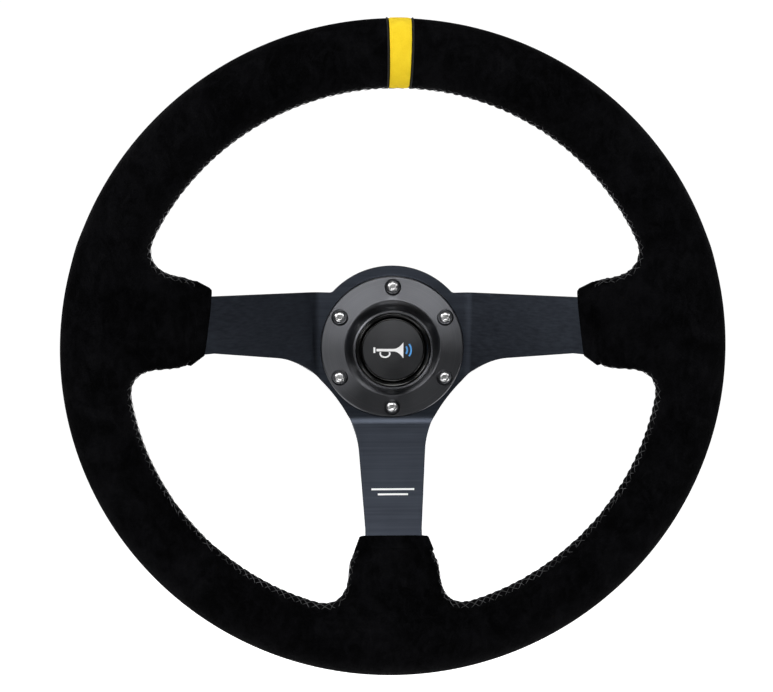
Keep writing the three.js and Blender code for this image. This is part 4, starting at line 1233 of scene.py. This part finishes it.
def terminal(name, low, high):
    """A spade terminal: a chamfered blade with a latching hole."""
    middle, tip = (low[1] + high[1]) / 2, 1.2
    half = (high[1] - low[1]) / 2
    outline = [
        (middle - half, high[2]), (middle - half, low[2] + tip), (middle - half + tip, low[2]),
        (middle + half - tip, low[2]), (middle + half, low[2] + tip), (middle + half, high[2]),
    ]
    count = len(outline)
    points = [(low[0], y, h) for y, h in outline] + [(high[0], y, h) for y, h in outline]
    faces = [tuple(range(count)), tuple(reversed(range(count, 2 * count)))]
    faces += [((k + 1) % count, k, k + count, (k + 1) % count + count) for k in range(count)]
    blade = new_object(name, (points, faces), BRASS, smooth=0)
    hole, faces = turned(oblong(0.0, 0.9, -3.0, 3.0), 24)
    centre = ((low[0] + high[0]) / 2, middle, (low[2] + high[2]) / 2)
    hole = [(centre[0] + h, centre[1] + x, centre[2] + y) for x, y, h in hole]
    combine(blade, (hole, faces), "DIFFERENCE", 30)
    return blade


# ---------------------------------------------------------------- quick release
COLUMN_HIGH = span("column_hub")[1]
SLEEVE_LOW, SLEEVE_HIGH = span("wheel_hub")
COLLAR_LOW, COLLAR_HIGH = span("release_collar")
SNAP_LOW, SNAP_HIGH = span("collar_snap_ring")
BALL_LOW, BALL_HIGH = span("lock_ball_1")
BALL_RADIUS = (BALL_HIGH[0] - BALL_LOW[0]) / 2
BALL_CIRCLE = (BALL_LOW[1] + BALL_HIGH[1]) / 2
BALL_HEIGHT = (BALL_LOW[2] + BALL_HIGH[2]) / 2
NOSE_RADIUS, COLUMN_BORE, COLUMN_WEB, FLANGE = 22.0, 15.0, 5.0, 7.0
SPLINE_ROOT, SPLINE_TIP, SPLINE_END = 22.4, 24.2, 22.0
WIDE_TOOTH, TOOTH, TOOTH_START = 8, 5, 17.0
GROOVE_HALF = 3.51  # half of the width of the balls' groove
SLEEVE_RADIUS = 27.0
HUB_FLANGE = 50.0
GAP = 0.3


def box_between(x0, x1, half, low, high, degrees):
    """A box from x0 to x1 along a direction in the wheel's plane, half to each side of it."""
    way, over = np.array(polar(1, degrees)), np.array(polar(1, degrees + 90))
    flat = [way * x0 - over * half, way * x1 - over * half, way * x1 + over * half, way * x0 + over * half]
    return slab([(*p, low) for p in flat], [(*p, high) for p in flat])


def teeth(grow, low, high):
    """Twelve spline teeth, grown by a clearance. The first is wide, so the halves fit one way round."""
    shapes = []
    for i in range(12):
        half = (WIDE_TOOTH if i == 0 else TOOTH) / 2 + grow
        shapes.append(box_between(TOOTH_START, SPLINE_TIP + grow, half, low, high, 90 + 30 * i))
    return merged(shapes)


def column_hub():
    radius, end = COLUMN_HIGH[0], COLUMN_HIGH[2]
    groove = [(NOSE_RADIUS, BALL_HEIGHT - GROOVE_HALF)]
    for a in np.linspace(-1.16, 1.16, 13):
        deep, up = (BALL_RADIUS + GAP) * math.cos(a), (BALL_RADIUS + GAP) * math.sin(a)
        groove.append((BALL_CIRCLE - deep, BALL_HEIGHT + up))
    groove.append((NOSE_RADIUS, BALL_HEIGHT + GROOVE_HALF))
    profile = rounded([
        (0.0, 0.0), (radius, 0.0, 1.0), (radius, FLANGE, 1.0), (SPLINE_ROOT, FLANGE, 0.1),
        (SPLINE_ROOT, SPLINE_END, 0.3), (NOSE_RADIUS, SPLINE_END, 0.1),
    ], 0.3)[:-1]
    profile += groove
    profile += rounded([
        (NOSE_RADIUS, BALL_HEIGHT), (NOSE_RADIUS, end, 1.5), (COLUMN_BORE, end, 0.8),
        (COLUMN_BORE, COLUMN_WEB, 0.6), (0.0, COLUMN_WEB),
    ], 0.4)[4:]
    hub = new_object("column_boss", turned(profile, 144), HUB_METAL)
    combine(hub, teeth(0.0, FLANGE - 1, SPLINE_END), "UNION", 30)
    wide = BOLT_HOLE + 0.7
    hole = [
        (0.0, -2), (BOLT_HOLE, -2), (BOLT_HOLE, FLANGE - 0.6), (wide, FLANGE + 0.1), (wide, 9), (0.0, 9),
    ]
    holes = [turned(hole, 36, polar(BOLT_CIRCLE_RADIUS, a)) for a in bolt_angles()]
    holes.append(turned(oblong(0.0, 4.0, -2, 8), 36, (0.0, -9.0)))
    combine(hub, merged(holes), "DIFFERENCE", 30)
    finish_piece(hub, "column", ["column_hub"])


def wheel_hub():
    low, front, radius = SLEEVE_LOW[2], SLEEVE_HIGH[2], SLEEVE_HIGH[0]
    bore, spline_bore, step = NOSE_RADIUS + GAP, SPLINE_ROOT + GAP, SPLINE_END + 2 * GAP
    snap_floor, snap_low, snap_high = SLEEVE_RADIUS - 1.1, SNAP_LOW[2] - GAP, SNAP_HIGH[2] + GAP
    profile = rounded([
        (spline_bore, low, 0.5), (SLEEVE_RADIUS, low, 0.7), (SLEEVE_RADIUS, snap_low, 0.1),
        (snap_floor, snap_low, 0.1), (snap_floor, snap_high, 0.1), (SLEEVE_RADIUS, snap_high, 0.1),
        (SLEEVE_RADIUS, HUB_FLANGE, 0.8), (radius, HUB_FLANGE, 0.7), (radius, front, 0.6),
        (bore, front, 0.4), (bore, step, 0.1), (spline_bore, step, 0.1),
    ])
    hub = new_object("wheel_boss", turned(profile, 144), HUB_METAL)
    combine(hub, teeth(GAP, low - 2, step), "DIFFERENCE", 30)
    holes = []
    for degrees in bolt_angles():
        points, faces = turned(oblong(0.0, BALL_RADIUS + 0.2, -6, 6), 40)
        way, over = polar(1, degrees), polar(1, degrees + 90)
        moved = []
        for x, y, h in points:
            out = BALL_CIRCLE + BALL_RADIUS / 2 + h
            moved.append((way[0] * out + over[0] * x, way[1] * out + over[1] * x, BALL_HEIGHT + y))
        holes.append((moved, faces))
        holes.append(turned(oblong(0.0, BOLT_HOLE, 48, 59), 36, polar(BOLT_CIRCLE_RADIUS, degrees)))
    combine(hub, merged(holes), "DIFFERENCE", 30)
    finish_piece(hub, "wheel", ["wheel_hub"])


def release_collar():
    low, high = COLLAR_LOW[2], COLLAR_HIGH[2]
    bore, body, grip, grip_start = 27.35, 34.5, COLLAR_HIGH[0], 34.0
    groove, groove_floor = 18.5, body - 0.6
    pocket, pocket_floor, lip = 32.2, 31.0, low + 3.5
    cone = 6.3
    relief = bore + cone * 2.2 / 6.0  # the balls' travel over the collar's stroke
    profile = rounded([
        (bore, low, 0.5), (body, low, 0.8), (body, groove, 0.1), (groove_floor, groove + 0.6, 0.1),
        (groove_floor, groove + 1.6, 0.1), (body, groove + 2.2, 0.1), (body, grip_start, 0.8),
        (grip, grip_start, 0.8), (grip, high, 0.8), (pocket, high, 0.5), (pocket, pocket_floor, 0.2),
        (bore, pocket_floor, 0.2), (bore, BALL_HEIGHT, 0.1), (relief, BALL_HEIGHT - cone, 0.1),
        (relief, lip, 0.1), (bore, lip, 0.3),
    ])
    count = 60

    def knurl(angle, radius):
        share = min(max((radius - grip + 1.1) / 0.8, 0.0), 1.0)
        return radius - share * 0.75 * (0.5 + 0.5 * math.cos(count * angle)) ** 0.7

    shape = turned(profile, count * 8, ripple=knurl)
    piece("pull_collar", shape, COLLAR, "collar", ["release_collar"], smooth=40)


def small_parts():
    low, high = span("collar_spring")
    wire = 0.9
    path = spring_path(high[0] - wire, low[2] + wire, high[2] - wire, 5.5, 48)
    shape = tube(path, wire, 12)
    coil = piece("return_spring", shape, SPRING, "wheel", ["collar_spring"], smooth=60)
    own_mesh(coil)

    inner, outer = SLEEVE_RADIUS - 0.8, SLEEVE_RADIUS + 2.0
    section = rounded(oblong(inner, outer, SNAP_LOW[2], SNAP_HIGH[2]), 0.25)
    points, count = [], 100
    for i in range(count + 1):
        angle = 100 + 340 * i / count
        points += [(*polar(r, angle), h) for r, h in section]
    n = len(section)
    faces = skin(count + 1, n, closed=False)
    faces += [tuple(range(n)), tuple(reversed(range(count * n, count * n + n)))]
    piece("snap_ring", (points, faces), STEEL, "wheel", ["collar_snap_ring"])

    for i in range(1, 7):
        low, high = span(f"lock_ball_{i}")
        ball = bmesh.new()
        bmesh.ops.create_icosphere(ball, subdivisions=4, radius=BALL_RADIUS)
        points = np.array([v.co for v in ball.verts]) + (low + high) / 2
        faces = [[v.index for v in f.verts] for f in ball.faces]
        ball.free()
        shape, node = (points, faces), f"lock_ball_{i}"
        piece(f"bearing_ball_{i}", shape, BALL, f"ball_{i}", [node], smooth=180)


def rim_core():
    low, high = span("rim_core_ring")
    inner, outer = RIM_RADIUS - CORE_WIDTH / 2, RIM_RADIUS + CORE_WIDTH / 2
    section = rounded(oblong(inner, outer, low[2], high[2]), 0.6)
    piece("core_ring", turned(section, 180), STEEL, "wheel", ["rim_core_ring"])
    shank, dome = 2.0, 2.2
    for side, i in itertools.product(("right", "left", "bottom"), (1, 2)):
        low, high = span(f"rivet_{side}_{i}")
        centre = ((low[0] + high[0]) / 2, (low[1] + high[1]) / 2)
        head, bottom, top = (high[0] - low[0]) / 2, low[2], high[2]
        profile = rounded([
            (0.0, bottom), (head * 0.7, bottom, 1.5), (head, bottom + dome * 0.7), (head, bottom + dome),
            (shank, bottom + dome), (shank, top - dome), (head, top - dome), (head, top - dome * 0.7),
            (head * 0.7, top, 1.5), (0.0, top),
        ], 0.2)
        shape, node = turned(profile, 36, centre), f"rivet_{side}_{i}"
        piece(f"dome_rivet_{side}_{i}", shape, STEEL, "wheel", [node])


camera()
suede_cover()
for side, arm in ARMS.items():
    cuff_hem(side, arm)
stitching()
marker_band()
spoke_plate()
arm_stripes()
hub_ring()
hub_screws()
horn_button()
horn_housing()
horn_inside()
column_hub()
wheel_hub()
release_collar()
small_parts()
rim_core()
studio()
